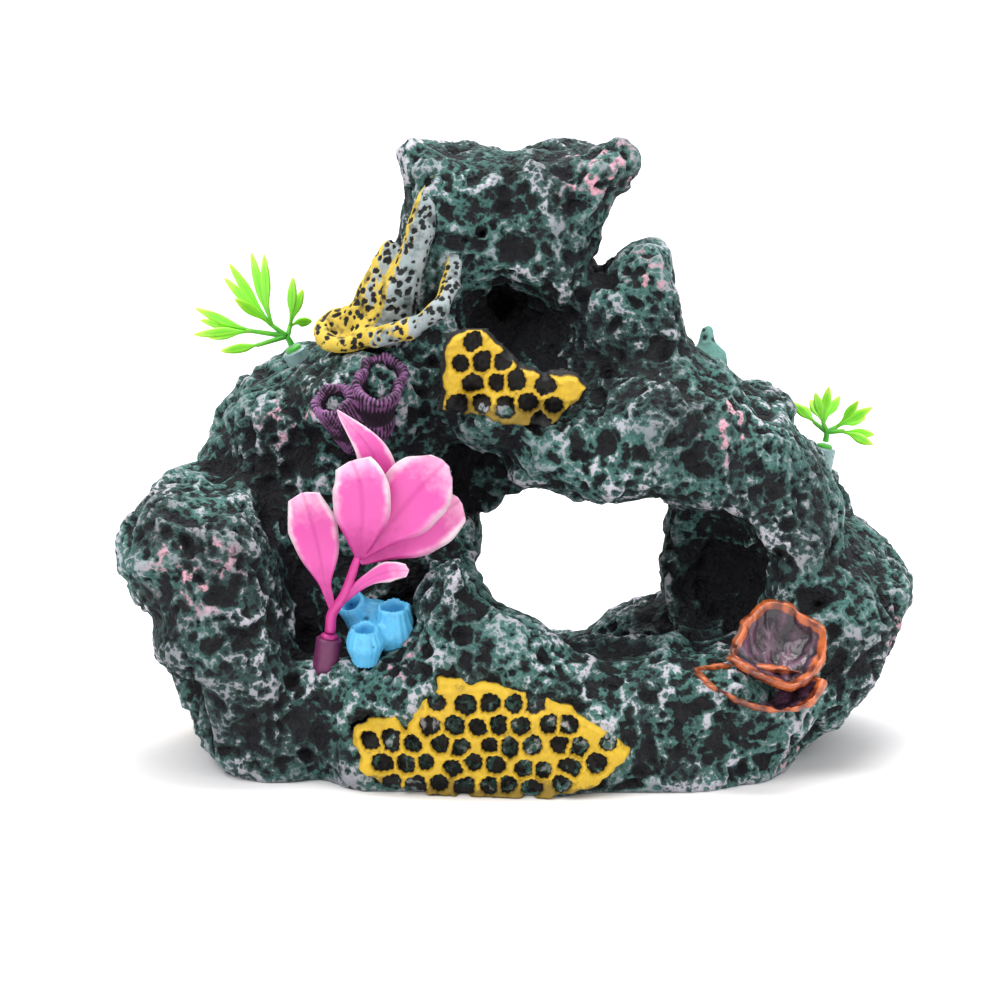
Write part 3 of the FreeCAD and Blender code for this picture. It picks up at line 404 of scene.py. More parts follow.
def plain_plastic(name, dark, light, rough, through=0.0):
    """Moulded plastic that is clear by through."""
    s = Shader(name)
    mottle = s.noise(2.2, 3.0)
    colour = s.blend(mottle, dark, light)
    return s.finish(colour, s.steps(mottle, 0.3, 0.7, rough - 0.06, rough + 0.06), s.noise(0.8), 0.15, 0.2,
                    Transmission_Weight=through)


# ---------------------------------------------------------------- the rock
def openness(points, normals, tree):
    """How open each point is to the air, from 0 in a deep cave to 1, for painted shade."""
    golden = math.pi * (3 - math.sqrt(5))
    rays = []
    for n in range(AO_RAYS):
        z = (n + 0.5) / AO_RAYS
        r = math.sqrt(1 - z * z)
        rays.append((r * math.cos(n * golden), r * math.sin(n * golden), z))
    result = np.zeros(len(points))
    for index in range(len(points)):
        up = Vector(normals[index])
        side = up.orthogonal().normalized()
        front = up.cross(side)
        start = Vector((points[index] + SHIFT) * MM) + up * 0.6 * MM
        free = 0.0
        for x, y, z in rays:
            hit = tree.ray_cast(start, side * x + front * y + up * z, AO_REACH * MM)
            free += 1.0 if hit[0] is None else hit[3] / (AO_REACH * MM)
        result[index] = free / AO_RAYS
    return result


def eased(values, ends, rounds):
    """Values on a mesh's points, averaged with their neighbours' again and again."""
    a, b = ends[:, 0], ends[:, 1]
    number = len(values)
    share = np.bincount(a, minlength=number) + np.bincount(b, minlength=number) + 1.0
    for _ in range(rounds):
        values = np.stack([(np.bincount(a, values[b, m], number) + np.bincount(b, values[a, m], number)
                            + values[:, m]) / share for m in range(values.shape[1])], axis=1)
    return values


def ranked(values):
    """Each value's place among the others, from 0 for the least to 1."""
    order = np.empty(len(values))
    order[np.argsort(values)] = np.linspace(0, 1, len(values))
    return order


def edges_of(piece):
    ends = np.zeros(len(piece.data.edges) * 2, dtype=np.int32)
    piece.data.edges.foreach_get("vertices", ends)
    return ends.reshape(-1, 2)


def standing_out(piece, points, normals):
    """How far each point stands out from the surface around it, finely and broadly, in millimetres."""
    ends = edges_of(piece)
    near = eased(points, ends, 4)
    broad = eased(near, ends, 26)
    return np.sum((points - near) * normals, axis=1), np.sum((points - broad) * normals, axis=1)


def pushed(p, width, amount, seed):
    """Points moved about by noise, so that what is drawn from them isn't regular."""
    return p + amount * np.stack([lumps(p, width, seed + n) for n in range(3)], axis=1)


def grit(points):
    return lumps(points, 2.3, 8)


# The rock's pits in three sizes: their depth, then how far apart they are, their least and greatest radius,
# the share of places that have one, and a seed.
ROCK_PITS = [(3.4, 13.0, 3.6, 7.0, 0.60, 3), (2.4, 6.2, 1.7, 3.2, 0.9, 17), (1.3, 3.0, 0.9, 1.6, 0.95, 31)]
# The back wall of the dark niche beside the arch, which the CAD casting leaves partly open.
NICHE_BACK = [((-10, 18, 78), (13, 9, 16)), ((1, 16, 82), (12, 9, 14))]
# Where the casting has touches of pink paint: a point and how far they spread.
PINK_TOUCHES = [((24, -8, 160), 16), ((38, -14, 136), 10), ((-84, -44, 58), 16), ((76, -34, 8), 14),
                ((100, -20, 36), 14), ((-30, -52, 36), 10), ((60, -34, 96), 14), ((-60, -20, 96), 12)]


def build_rock():
    """The casting: the CAD rock's own skin, roughened with crags and pits. Gives a tree of its faces."""
    rock = refined_copy("rock_casting", "rock", ROCK_VOXEL, 7, NICHE_BACK)
    points, normals = points_of(rock)
    at = pushed(pushed(points, 9.0, 2.4, 50), 3.4, 0.9, 60)
    ridges = 1.0 - 2.0 * np.abs(lumps(at, 17.0, 5))
    ridges += 0.55 * (1.0 - 2.0 * np.abs(lumps(at, 8.0, 6)))
    rise = 1.5 * ridges
    for depth, *pits in ROCK_PITS:
        rise = rise - depth * pores(at, *pits)
    rise = rise + 0.4 * grit(points) - 0.5
    above = ramp(points[:, 2], 0.4, 4.0)
    moved = points + normals * (rise * above)[:, None]
    moved[:, 2] = np.where(points[:, 2] < 0.5, points[:, 2], np.maximum(moved[:, 2], 0.05))
    set_points(rock, kept_inside(moved, "rock_casting"))
    thinned(rock, ROCK_TRIANGLES)
    tree = BVHTree.FromObject(rock, bpy.context.evaluated_depsgraph_get())
    points, normals = points_of(rock)
    fine, broad = standing_out(rock, points, normals)
    mark(rock, "level", ranked(fine / fine.std() + 0.75 * broad / broad.std() + 0.25 * grit(points)))
    # how open each point is: the rock's paint darkens shut-in places by it, as painted shade
    mark(rock, "open", openness(points, normals, tree))
    touched = np.zeros(len(points))
    for centre, reach in PINK_TOUCHES:
        away = np.linalg.norm(points - np.array(centre), axis=1)
        touched = np.maximum(touched, 1 - ramp(away, 0.4 * reach, reach))
    mark(rock, "pink", touched)
    rock.data.materials.append(rock_paint())
    stands_for(rock, "rock", "rock_casting")
    return tree


# ---------------------------------------------------------------- honeycomb corals
HONEYCOMB_FRONT = [(-42, 17), (-30, 22), (-27, 18), (-18, 32), (-2, 31), (14, 26), (30, 16), (34, 13),
                   (32, 9), (25, 3), (-2, -4), (-34, 2), (-40, 6)]
HONEYCOMB_UPPER = [(-17, 120), (-7, 123), (-2, 118), (3, 112), (10, 110), (19, 109), (21, 106), (18, 102),
                   (11, 95), (3, 96), (-10, 99), (-18, 100), (-17, 110)]
CELL_PITCH = 6.3           # distance between the cells
CELL_RADIUS = 3.1          # radius of a cell
CELL_INSET = 1.7           # least distance from a cell's middle to the coral's edge
WALL_HALF = 0.26           # half the thickness of the walls between cells
CRUST_STEP = 0.36          # spacing of the honeycomb corals' points


def outline_distance(x, z, outline):
    """Distance from points to a closed outline, negative inside it."""
    best = np.full(x.shape, 1e9)
    inside = np.zeros(x.shape, bool)
    for (x0, z0), (x1, z1) in zip(outline[-1:] + outline[:-1], outline):
        ex, ez = x1 - x0, z1 - z0
        t = np.clip(((x - x0) * ex + (z - z0) * ez) / (ex * ex + ez * ez), 0, 1)
        best = np.minimum(best, np.hypot(x - x0 - t * ex, z - z0 - t * ez))
        if z0 != z1:
            crossing = ((z1 > z) != (z0 > z)) & (x < (x0 - x1) * (z - z1) / (z0 - z1) + x1)
            inside ^= crossing
    return np.where(inside, -best, best)


def cells_in(outline):
    """The coral's cells: a close-packed grid inside the outline, each a little out of place."""
    xs, zs = [p[0] for p in outline], [p[1] for p in outline]
    centres, row, z = [], 0, min(zs) + CELL_INSET
    while z < max(zs):
        x, column = min(xs) + CELL_INSET + (row % 2) * CELL_PITCH / 2, 0
        while x < max(xs):
            i, j = np.array([row]), np.array([column])
            cx = x + 0.16 * CELL_PITCH * (2 * hashed(i, j, np.array([5]), 1)[0] - 1)
            cz = z + 0.16 * CELL_PITCH * (2 * hashed(i, j, np.array([9]), 1)[0] - 1)
            if outline_distance(np.array([cx]), np.array([cz]), outline)[0] < -CELL_INSET:
                centres.append((cx, cz))
            x += CELL_PITCH
            column += 1
        z += CELL_PITCH * 0.87
        row += 1
    return centres


def beside(grid):
    """The four neighbours of each place on a grid, its edges repeated."""
    padded = np.pad(grid, 1, mode="edge")
    return [padded[:-2, 1:-1], padded[2:, 1:-1], padded[1:-1, :-2], padded[1:-1, 2:]]


def depth_behind(grid_x, grid_z, front, tree):
    """How far back the rock's face is behind each place, drawn a little forward and smoothed. Places with no
    rock near are filled in from those around them."""
    depth = np.full(grid_x.shape, np.nan)
    for index in np.ndindex(grid_x.shape):
        start = Vector((np.array((grid_x[index], front - 12, grid_z[index])) + SHIFT) * MM)
        hit = tree.ray_cast(start, Vector((0, 1, 0)), 34 * MM)
        if hit[0] is not None:
            depth[index] = hit[0].y / MM - SHIFT[1]
    known = ~np.isnan(depth)
    filled = np.where(known, depth, np.nanmedian(depth))
    for step in range(90):
        filled = np.where(known & (step < 60), depth, sum(beside(filled)) / 4)
    nearest = filled
    for _ in range(5):
        nearest = np.minimum.reduce(beside(nearest) + [nearest])
    for _ in range(14):
        nearest = sum(beside(nearest)) / 4
    return nearest


def closed_sheet(front, back, kept):
    """A sheet on a grid: the points and faces of its front, its back, and the walls round the part that is
    kept, and which of all its points they use."""
    number = kept.size
    index = np.arange(number).reshape(kept.shape)
    full = kept[:-1, :-1] & kept[:-1, 1:] & kept[1:, 1:] & kept[1:, :-1]
    quads = np.stack([index[:-1, :-1], index[:-1, 1:], index[1:, 1:], index[1:, :-1]], axis=-1)[full].tolist()
    sides = {(a, b) for quad in quads for a, b in zip(quad, quad[1:] + quad[:1])}
    faces = [tuple(q) for q in quads] + [tuple(v + number for v in reversed(q)) for q in quads]
    faces += [(b, a, a + number, b + number) for a, b in sides if (b, a) not in sides]
    points = np.concatenate([front.reshape(-1, 3), back.reshape(-1, 3)])
    used = np.zeros(len(points), bool)
    used[[v for face in faces for v in face]] = True
    new = np.cumsum(used) - 1
    return points[used], [tuple(int(new[v]) for v in face) for face in faces], used


def build_honeycomb(node, outline, tree, paint):
    """A crust of cells with ribbed walls that follows the rock's face."""
    xs, zs = [p[0] for p in outline], [p[1] for p in outline]
    across = np.arange(min(xs) - 2.0, max(xs) + 2.0, CRUST_STEP)
    up = np.arange(max(min(zs) - 2.0, 0.3), max(zs) + 2.0, CRUST_STEP)
    grid_x, grid_z = np.meshgrid(across, up)
    foremost = (np.array(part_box(node)[0]) / MM - SHIFT)[1]
    depth = depth_behind(grid_x, grid_z, foremost, tree)
    flat = np.stack([grid_x.ravel(), np.zeros(grid_x.size), grid_z.ravel()], axis=1)
    ragged = (lumps(flat, 3.2, 4) * 0.9 + lumps(flat, 1.4, 8) * 0.4).reshape(grid_x.shape)
    rim = outline_distance(grid_x, grid_z, outline) + ragged
    crust = 1 - ramp(rim, -1.2, 0.5)
    nearest = np.full(grid_x.shape, 1e9)
    second = np.full(grid_x.shape, 1e9)
    turn = np.zeros(grid_x.shape)
    owner = np.zeros(grid_x.shape)
    bend = pushed(flat, 2.6, 0.35, 70)
    bend_x, bend_z = bend[:, 0].reshape(grid_x.shape), bend[:, 2].reshape(grid_x.shape)
    for number, (cx, cz) in enumerate(cells_in(outline)):
        out = np.hypot(bend_x - cx, bend_z - cz)
        closer = out < nearest
        second = np.where(closer, nearest, np.minimum(second, out))
        turn = np.where(closer, np.arctan2(bend_z - cz, bend_x - cx), turn)
        owner = np.where(closer, number, owner)
        nearest = np.where(closer, out, nearest)
    size = CELL_RADIUS * (1 + 0.12 * np.sin(owner * 2.4))
    inside = np.minimum((second - nearest) / 2 - WALL_HALF, size - nearest)
    septa = np.clip(np.cos(10 * turn + owner) * 1.5, 0, 1) * (1 - ramp(inside, 0.5, 1.5))
    pit = ramp(inside - 0.22 * septa, -0.12, 0.5)
    grain = fractal(flat, 1.3, 2, 21).reshape(grid_x.shape)
    lift = -3.4 + crust * (6.5 - 3.4 * pit + 0.35 * grain)
    front = np.stack([grid_x, depth - lift, grid_z], axis=-1)
    back = np.stack([grid_x, np.maximum(depth + 3.6, depth - lift + 0.4), grid_z], axis=-1)
    points, faces, used = closed_sheet(front, back, rim < 0.9)
    piece = made(node + "_crust", kept_inside(points, node, 0.8), faces)
    none = np.zeros(grid_x.size)
    mark(piece, "relief", np.concatenate([((1 - pit) * crust).ravel(), none])[used])
    # darker towards the crust's lower edge: more patches of bare black resin there
    low_edge = 1 - ramp(grid_z, min(zs) + 3, min(zs) + 11)
    mark(piece, "bare_patches", np.concatenate([low_edge.ravel(), none])[used])
    piece.data.materials.append(paint)
    stands_for(piece, "rock", node)


# ---------------------------------------------------------------- the other corals
def roughened(node, voxel, smooth_steps, rise, relief, bare_patches=None):
    """A CAD coral's own skin with its surface detail. rise and relief are functions of its points and
    normals, and worn is one of its points."""
    piece = refined_copy(node, node + "_skin", voxel, smooth_steps)
    points, normals = points_of(piece)
    moved = points + normals * rise(points, normals)[:, None]
    set_points(piece, kept_inside(moved, node))
    mark(piece, "relief", relief(points, normals))
    if bare_patches is not None:
        mark(piece, "bare_patches", bare_patches(points))
    stands_for(piece, "rock", node)
    return piece


FINGER_RING = (-46, -14, 120)


def finger_pores(p):
    return pores(pushed(p, 2.0, 0.25, 30), 1.95, 0.74, 1.08, 1.0, 5)


def tube_frame(points, start, mouth):
    """How far each point is along a tube, from 0 to 1, its distance from the axis and its angle around it."""
    start, mouth = np.array(start, float), np.array(mouth, float)
    length = np.linalg.norm(mouth - start)
    axis = (mouth - start) / length
    side = np.cross(axis, (0.0, 0.0, 1.0) if abs(axis[2]) < 0.9 else (1.0, 0.0, 0.0))
    side /= np.linalg.norm(side)
    third = np.cross(axis, side)
    rel = points - start
    along = rel @ axis
    flat = rel - np.outer(along, axis)
    return along / length, np.linalg.norm(flat, axis=1), np.arctan2(flat @ third, flat @ side)


def ribs_on(points, tubes, count):
    """Ribs that run up the nearest tube, from -1 to 1."""
    best, value = np.full(len(points), 1e9), np.zeros(len(points))
    for start, mouth in tubes:
        _, out, turn = tube_frame(points, start, mouth)
        value = np.where(out < best, np.cos(count * turn), value)
        best = np.minimum(best, out)
    return value


# Where each tube of the two tube corals starts, and the middle of its mouth.
PURPLE_TUBES = [((-41, -18, 88), (-48, -31, 103)), ((-37, -18, 93), (-35, -32, 107.5)),
                ((-36, -15, 98), (-33.5, -25.5, 109.8))]
PURPLE_MOUTHS = [5.9, 6.9, 6.8]          # radius of each mouth
PURPLE_RIBS = 34
BLUE_TUBES = [((-38.4, -45, 33), (-38.4, -49, 44)), ((-31, -38, 35), (-31, -42, 48.5)),
              ((-38, -30, 38), (-43, -36, 48))]
BLUE_RIBS = 18


def bore_shade(points, tubes, mouths):
    """How deep each point lies down the bore of a tube, from 0 to 1, for the painted shade down the bores."""
    deepest = np.zeros(len(points))
    for (start, mouth), radius in zip(tubes, mouths):
        along, out, _ = tube_frame(points, start, mouth)
        bore = 1 - ramp(out, radius - 1.3, radius - 0.6)
        deepest = np.maximum(deepest, bore * ramp(along, 0.35, 0.45) * (1 - ramp(along, 0.72, 0.96)))
    return deepest


def wrinkle(p):
    return fractal(p * np.array((1.0, 1.0, 0.4)), 2.2, 3, 11)


# The plate coral's two dishes: corners round each rim, and the middle of its floor.
UPPER_DISH = ([(62, -45, 38.5), (64.5, -42, 43.5), (70.5, -38, 48), (75.5, -38.5, 47.5), (86, -43, 41.5),
               (85.5, -46, 37.5), (81.5, -52, 30.5), (76, -54, 28.8), (68, -54, 31.5), (60.5, -50.5, 35.5)],
              (71, -40, 36))
LOWER_DISH = ([(49.8, -51, 33), (57, -50, 34), (66, -48, 33), (78, -48, 31), (84.6, -51, 29.5),
               (81.5, -55, 25.4), (76.5, -57.6, 23.6), (71.5, -58.4, 23.2), (66.5, -58.4, 24.6),
               (61, -57.6, 26.2), (54.5, -55.6, 29)],
              (69, -44, 25.0))


DISH_THICK = 2.2


def dish_shape(rim, apex, thick, around=150, rings=34):
    """A dish with an angular rim: its points, its faces, how near each point is to the rim, and 1 for those
    on its inside."""
    rim, apex = np.array(rim, float), np.array(apex, float)
    closed = np.vstack([rim, rim[:1]])
    length = np.concatenate([[0], np.cumsum(np.linalg.norm(np.diff(closed, axis=0), axis=1))])
    at = np.linspace(0, length[-1], around, endpoint=False)
    edge = np.stack([np.interp(at, length, closed[:, m]) for m in range(3)], axis=1)
    for _ in range(3):
        edge = (np.roll(edge, 1, axis=0) + 2 * edge + np.roll(edge, -1, axis=0)) / 4
    edge += 0.5 * np.stack([lumps(edge, 4.0, 80 + m) for m in range(3)], axis=1)
    axis = edge.mean(axis=0) - apex
    axis /= np.linalg.norm(axis)
    out = edge - apex
    rise = out @ axis
    flat = out - np.outer(rise, axis)
    outward = flat / np.linalg.norm(flat, axis=1)[:, None]
    points, near_rim, inner = [], [], []
    for side in (1, 0):
        order = range(1, rings) if side else range(rings - 1, 0, -1)
        for n in order:
            t = n / (rings - 1)
            ring = apex + flat * t ** 0.75 + np.outer(rise * t ** 1.7, axis)
            if not side:
                ring = ring - axis * thick * (1.1 - 0.35 * t) + outward * thick * 0.6
            points.append(ring)
            near_rim += [t] * around
            inner += [side] * around
    rows = len(points)
    faces = []
    for low in range(0, (rows - 1) * around, around):
        for a in range(around):
            b = (a + 1) % around
            faces.append((low + a, low + b, low + around + b, low + around + a))
    faces.append(tuple(range(around))[::-1])
    faces.append(tuple((rows - 1) * around + a for a in range(around)))
    return np.vstack(points), faces, np.array(near_rim), np.array(inner)


def build_plates():
    """The plate coral: an angular dish above a wider one, glossy orange at their rims and plum within."""
    points, faces, rims, inners = np.zeros((0, 3)), [], np.zeros(0), np.zeros(0)
    for rim, apex in (UPPER_DISH, LOWER_DISH):
        some, quads, near_rim, inner = dish_shape(rim, apex, DISH_THICK)
        faces += [tuple(v + len(points) for v in quad) for quad in quads]
        points = np.vstack([points, some])
        rims, inners = np.append(rims, near_rim), np.append(inners, inner)
    plates = made("plates", points, faces)
    points, normals = points_of(plates)
    rough = wrinkle(points)
    set_points(plates, kept_inside(points + normals * (0.42 * rough)[:, None], "plate_coral_orange"))
    mark(plates, "relief", np.clip(0.5 + 0.45 * rough, 0, 1))
    mark(plates, "rim", np.clip(ramp(rims, 0.70, 0.97) + 0.5 * (1 - inners), 0, 1))
    plates.data.materials.append(plate_paint())
    stands_for(plates, "rock", "plate_coral_orange")


def sponge_pores(p):
    return pores(p, 4.4, 0.5, 0.9, 0.5, 7)


def fin_pores(p):
    return pores(p, 3.2, 0.8, 1.3, 0.8, 9)


def patch_cells(p):
    return pores(p, 5.0, 1.6, 2.3, 0.95, 9)


def build_corals(tree):
    """The nine corals, each with its own paint."""
    yellow = crust_paint("yellow_walls", wall=(0.72, 0.47, 0.02), wall_dark=(0.42, 0.26, 0.02),
                         hollow=(0.008, 0.008, 0.009), bare_share=0.62)
    build_honeycomb("honeycomb_front", HONEYCOMB_FRONT, tree, yellow)
    build_honeycomb("honeycomb_upper", HONEYCOMB_UPPER, tree, yellow)

    finger = roughened(
        "finger_coral_yellow", 0.55, 3,
        lambda p, n: 0.35 * lumps(p, 5.0, 2) - 1.1 * finger_pores(p),
        lambda p, n: np.clip(1.0 - 2.1 * finger_pores(p), 0, 1))
    points, normals = points_of(finger)
    side = normals[:, 0] * 0.9 - normals[:, 1] * 0.35 + 0.5 * lumps(points, 7.0, 4)
    ring = 1 - ramp(np.linalg.norm(points - np.array(FINGER_RING), axis=1), 8, 12)
    mark(finger, "sunny", np.clip(ramp(-side, -0.25, 0.35) * ramp(points[:, 0], -12, -20) + ring, 0, 1))
    finger.data.materials.append(finger_paint())

    # The plum paint goes dark down each tube's bore: painted shade.
    purple = roughened(
        "tube_coral_purple", 0.5, 4,
        lambda p, n: 0.32 * ribs_on(p, PURPLE_TUBES, PURPLE_RIBS) + 0.15 * lumps(p, 1.2, 3),
        lambda p, n: np.clip(0.45 + 0.45 * ribs_on(p, PURPLE_TUBES, PURPLE_RIBS) + 0.45 * lumps(p, 1.4, 6)
                             - 1.2 * bore_shade(p, PURPLE_TUBES, PURPLE_MOUTHS), 0, 1))
    purple.data.materials.append(coral_paint("plum_paint", (0.014, 0.005, 0.016), (0.27, 0.105, 0.27),
                                             rough=0.72, grain=0.7, strength=0.6))

    blue = roughened(
        "tube_sponge_blue", 0.5, 4,
        lambda p, n: (0.12 * ribs_on(p, BLUE_TUBES, BLUE_RIBS) + 0.15 * fractal(p, 3.0, 2, 3)
                      - 0.7 * sponge_pores(p)),
        lambda p, n: np.clip(0.85 + 0.1 * ribs_on(p, BLUE_TUBES, BLUE_RIBS) - 1.2 * sponge_pores(p), 0, 1))
    blue.data.materials.append(coral_paint("blue_paint", (0.02, 0.16, 0.30), (0.10, 0.47, 0.78),
                                           rough=0.42, grain=1.0, strength=0.35, coat=0.15, bare=0.15))

    build_plates()

    rear_cup = roughened("cup_coral_rear", CORAL_VOXEL, 5,
                         lambda p, n: 0.2 * wrinkle(p) - 0.1,
                         lambda p, n: np.clip(0.5 + 0.5 * wrinkle(p), 0, 1))
    rear_cup.data.materials.append(coral_paint("brown_lacquer", (0.035, 0.03, 0.022), (0.36, 0.105, 0.035),
                                               rough=0.28, grain=1.2, strength=0.3, coat=0.6))

    fin = roughened("fin_coral_rear", CORAL_VOXEL, 5,
                    lambda p, n: 0.3 * fractal(p, 4.0, 2, 3) - 0.6 * fin_pores(p),
                    lambda p, n: np.clip(0.8 - fin_pores(p), 0, 1))
    fin.data.materials.append(coral_paint("teal_paint", (0.012, 0.03, 0.028), (0.12, 0.30, 0.26),
                                          rough=0.7, grain=0.9, strength=0.6))

    patch = roughened("coral_patch_side", CORAL_VOXEL, 5,
                      lambda p, n: -1.3 * patch_cells(p),
                      lambda p, n: np.clip(1.0 - 1.6 * patch_cells(p), 0, 1),
                      lambda p: np.full(len(p), 0.3))
    patch.data.materials.append(yellow)


def plate_paint():
    """Glossy orange-brown lacquer that runs into dark plum."""
    s = Shader("plate_lacquer")
    relief = s.number("relief")
    mottle = s.noise(5.0, 3.0, 0.6, warp=0.5)
    fine = s.noise(1.1, 4.0, 0.7)
    orange = s.blend(s.steps(relief, 0.25, 0.8), (0.14, 0.026, 0.010), (0.54, 0.125, 0.03))
    plum = s.blend(s.steps(relief, 0.3, 0.8), (0.016, 0.009, 0.016), (0.115, 0.05, 0.09))
    colour = s.blend(s.steps(s.swayed(s.number("rim"), mottle, 1.3), 0.42, 0.62), plum, orange)
    return s.finish(colour, s.steps(fine, 0.3, 0.7, 0.2, 0.42), fine, 0.5, 0.4,
                    Coat_Weight=0.5, Coat_Roughness=0.1)


# ---------------------------------------------------------------- plants
def curve_through(points, count):
    """count points and tangents along a smooth curve through a few, from 0 to 1."""
    points = [np.array(p, float) for p in points]
    chord = np.cumsum([0] + [np.linalg.norm(b - a) for a, b in zip(points, points[1:])])
    ends = [2 * points[0] - points[1]] + points + [2 * points[-1] - points[-2]]
    places, tangents = [], []
    for t in np.linspace(0, chord[-1], count):
        n = min(int(np.searchsorted(chord, t, side="right")) - 1, len(points) - 2)
        u = (t - chord[n]) / (chord[n + 1] - chord[n])
        a, b, c, d = ends[n:n + 4]
        places.append(0.5 * (2 * b + (c - a) * u + (2 * a - 5 * b + 4 * c - d) * u ** 2
                             + (3 * b - a - 3 * c + d) * u ** 3))
        tangent = 0.5 * ((c - a) + 2 * (2 * a - 5 * b + 4 * c - d) * u + 3 * (3 * b - a - 3 * c + d) * u ** 2)
        tangents.append(tangent / np.linalg.norm(tangent))
    return places, tangents


def closed_skin(rows, sides):
    """The faces of a skin over rings of points, with its two ends closed."""
    faces = []
    for low in range(0, (rows - 1) * sides, sides):
        for a in range(sides):
            b = (a + 1) % sides
            faces.append((low + a, low + sides + a, low + sides + b, low + b))
    faces.append(tuple(range(sides)))
    faces.append(tuple((rows - 1) * sides + a for a in range(sides - 1, -1, -1)))
    return faces


def leaf_shape(path, widths, thick, cup, seed, face=(0.0, -1.0, 0.0), rows=34, columns=9):
    """A leaf's points and faces, and how far along and across it each point is. Its halves meet in a grooved
    midrib, and its edge waves."""
    places, tangents = curve_through(path, rows)
    profile = np.interp(np.linspace(0, len(widths) - 1, rows), range(len(widths)), widths)
    for _ in range(3):
        profile[1:-1] = (profile[:-2] + 2 * profile[1:-1] + profile[2:]) / 4
    points, along, across = [], [], []
    sides = 2 * columns - 2
    us = [-1 + 2 * i / (columns - 1) for i in range(columns)]
    ring = [(u, 1) for u in us] + [(u, -1) for u in us[-2:0:-1]]
    for row, (place, tangent) in enumerate(zip(places, tangents)):
        out = np.array(face) - tangent * np.dot(face, tangent)
        out /= np.linalg.norm(out)
        side = np.cross(tangent, out)
        t = row / (rows - 1)
        width = profile[row] * (1 if row < rows - 1 else 0.25)
        half = thick / 2 * (0.55 + 0.45 * (1 - t)) + 0.1
        for u, facing in ring:
            wave = 0.10 * width * abs(u) * math.sin(9 * t + 2.2 * u + seed)
            groove = 0.22 * thick * (1 - min(abs(u) * 5, 1))
            lift = cup * width * u * u + wave + facing * half * (1.15 - 0.75 * u * u) - groove
            points.append(place + side * (u * width) + out * lift)
            along.append(t)
            across.append(abs(u))
    return points, closed_skin(rows, sides), along, across


def stalk_shape(path, radii, rows=24, sides=14):
    """The same for a round stalk, its radius running evenly through the given ones."""
    places, tangents = curve_through(path, rows)
    profile = np.interp(np.linspace(0, len(radii) - 1, rows), range(len(radii)), radii)
    points, along = [], []
    for row, (place, tangent) in enumerate(zip(places, tangents)):
        out = np.array((0.0, -1.0, 0.0)) - tangent * -tangent[1]
        out /= np.linalg.norm(out)
        side = np.cross(tangent, out)
        for a in range(sides):
            turn = 2 * math.pi * a / sides
            points.append(place + profile[row] * (side * math.cos(turn) + out * math.sin(turn)))
            along.append(row / (rows - 1))
    return points, closed_skin(rows, sides), along, [0.5] * len(points)


def marked_piece(name, shape, node):
    """A plant's piece from a shape, held inside its CAD node's box."""
    points, faces, along, across = shape
    piece = made(name, kept_inside(np.array(points), node), faces)
    mark(piece, "along", along)
    mark(piece, "across", across)
    return piece


PINK_STEM = [(-47.4, -42, 46), (-44, -43.5, 51.5), (-41, -45.5, 60), (-39.3, -46.5, 65)]
# Each pink leaf's path, its half-widths along that path, its thickness and how far it is dished.
PINK_LEAVES = {
    "leaf_pink_centre": ([(-39.8, -46.2, 62), (-38.7, -51, 74), (-39.1, -53, 83.5), (-41.2, -51, 89.5)],
                         [1.0, 4.6, 7.6, 7.8, 4.6], 1.0, 0.16),
    "leaf_pink_top": ([(-39.4, -45.8, 64), (-35, -46, 75), (-34.4, -47, 83.5), (-36.5, -48, 92),
                       (-45.4, -47, 102.5)], [0.8, 3.0, 5.6, 5.0, 3.0, 0.3], 0.9, 0.22),
    "leaf_pink_right": ([(-39.2, -46.6, 62.5), (-30, -49.5, 74), (-23.5, -50.5, 82), (-16.6, -49, 88.6)],
                        [0.9, 4.4, 9.0, 9.6, 5.6], 1.0, 0.12),
    "leaf_pink_low_right": ([(-39.6, -46, 61), (-28, -46, 68), (-20, -46, 73), (-12.8, -45, 77.6)],
                            [0.9, 3.8, 7.6, 8.0, 4.6], 1.0, 0.12),
    "leaf_pink_left": ([(-47.0, -42.4, 46.5), (-49.2, -43.5, 55), (-51.3, -45, 67), (-54.8, -44, 79.5)],
                       [0.9, 1.5, 5.4, 7.0, 4.0], 1.0, 0.18),
    "leaf_pink_small": ([(-45.6, -43, 49), (-38.5, -45.5, 55.5), (-32, -48.5, 59), (-26.5, -50, 59.6)],
                        [1.0, 1.3, 1.8, 3.0, 1.6], 0.9, 0.10),
}
LEFT_FORK = (-61.8, 6.2, 114.4)
RIGHT_FORK = (91.5, 28.1, 83.4)
# The green sprays: where each branch leaves the stem, where it ends, and the tips of its leaflets.
GREEN_LEFT = [
    (LEFT_FORK, (-66.9, 5, 118.5),
     [(-71.1, 2, 138.6), (-67.3, -1, 138.4), (-77.6, 6, 135.0), (-79.3, 9, 130.5), (-75.5, -4, 126.5)]),
    ((-61.8, 6.8, 113.4), (-60.8, 9, 117.8), [(-59.8, 6, 131.1), (-57.4, 11, 127.0), (-55.2, 14, 117.5)]),
    (LEFT_FORK, (-73.2, 3, 116.6),
     [(-86.7, 0, 123.2), (-87.0, -3, 116.2), (-85.9, 6, 119.0), (-83.6, 8, 113.6)]),
    (LEFT_FORK, (-70.0, 2, 112.4), [(-79.6, -3, 111.6), (-78.0, 6, 110.6)]),
]
GREEN_RIGHT = [
    (RIGHT_FORK, (90.2, 27.4, 86.6),
     [(91.5, 24, 97.4), (95.3, 30, 93.6), (87.0, 33, 92.0), (87.6, 24, 95.6)]),
    (RIGHT_FORK, (95.2, 28.6, 85.4), [(104.2, 26, 91.0), (103.0, 32, 87.0), (99.8, 22, 93.6)]),
    (RIGHT_FORK, (96.6, 27.6, 83.8), [(105.0, 26, 83.0), (104.4, 23.6, 80.4)]),
    (RIGHT_FORK, (87.8, 30.4, 86.0), [(81.8, 34.0, 91.2), (85.0, 37.0, 89.6)]),
]


def joint_place(name):
    """Where a joint is, in millimetres in the casting's own frame, and its axis."""
    joint = next(j for j in frame["joints"] if j["name"] == name)
    place = np.array(joint.get("pos_m", (0, 0, 0))) / MM - SHIFT
    return place, np.array(joint["axis"])


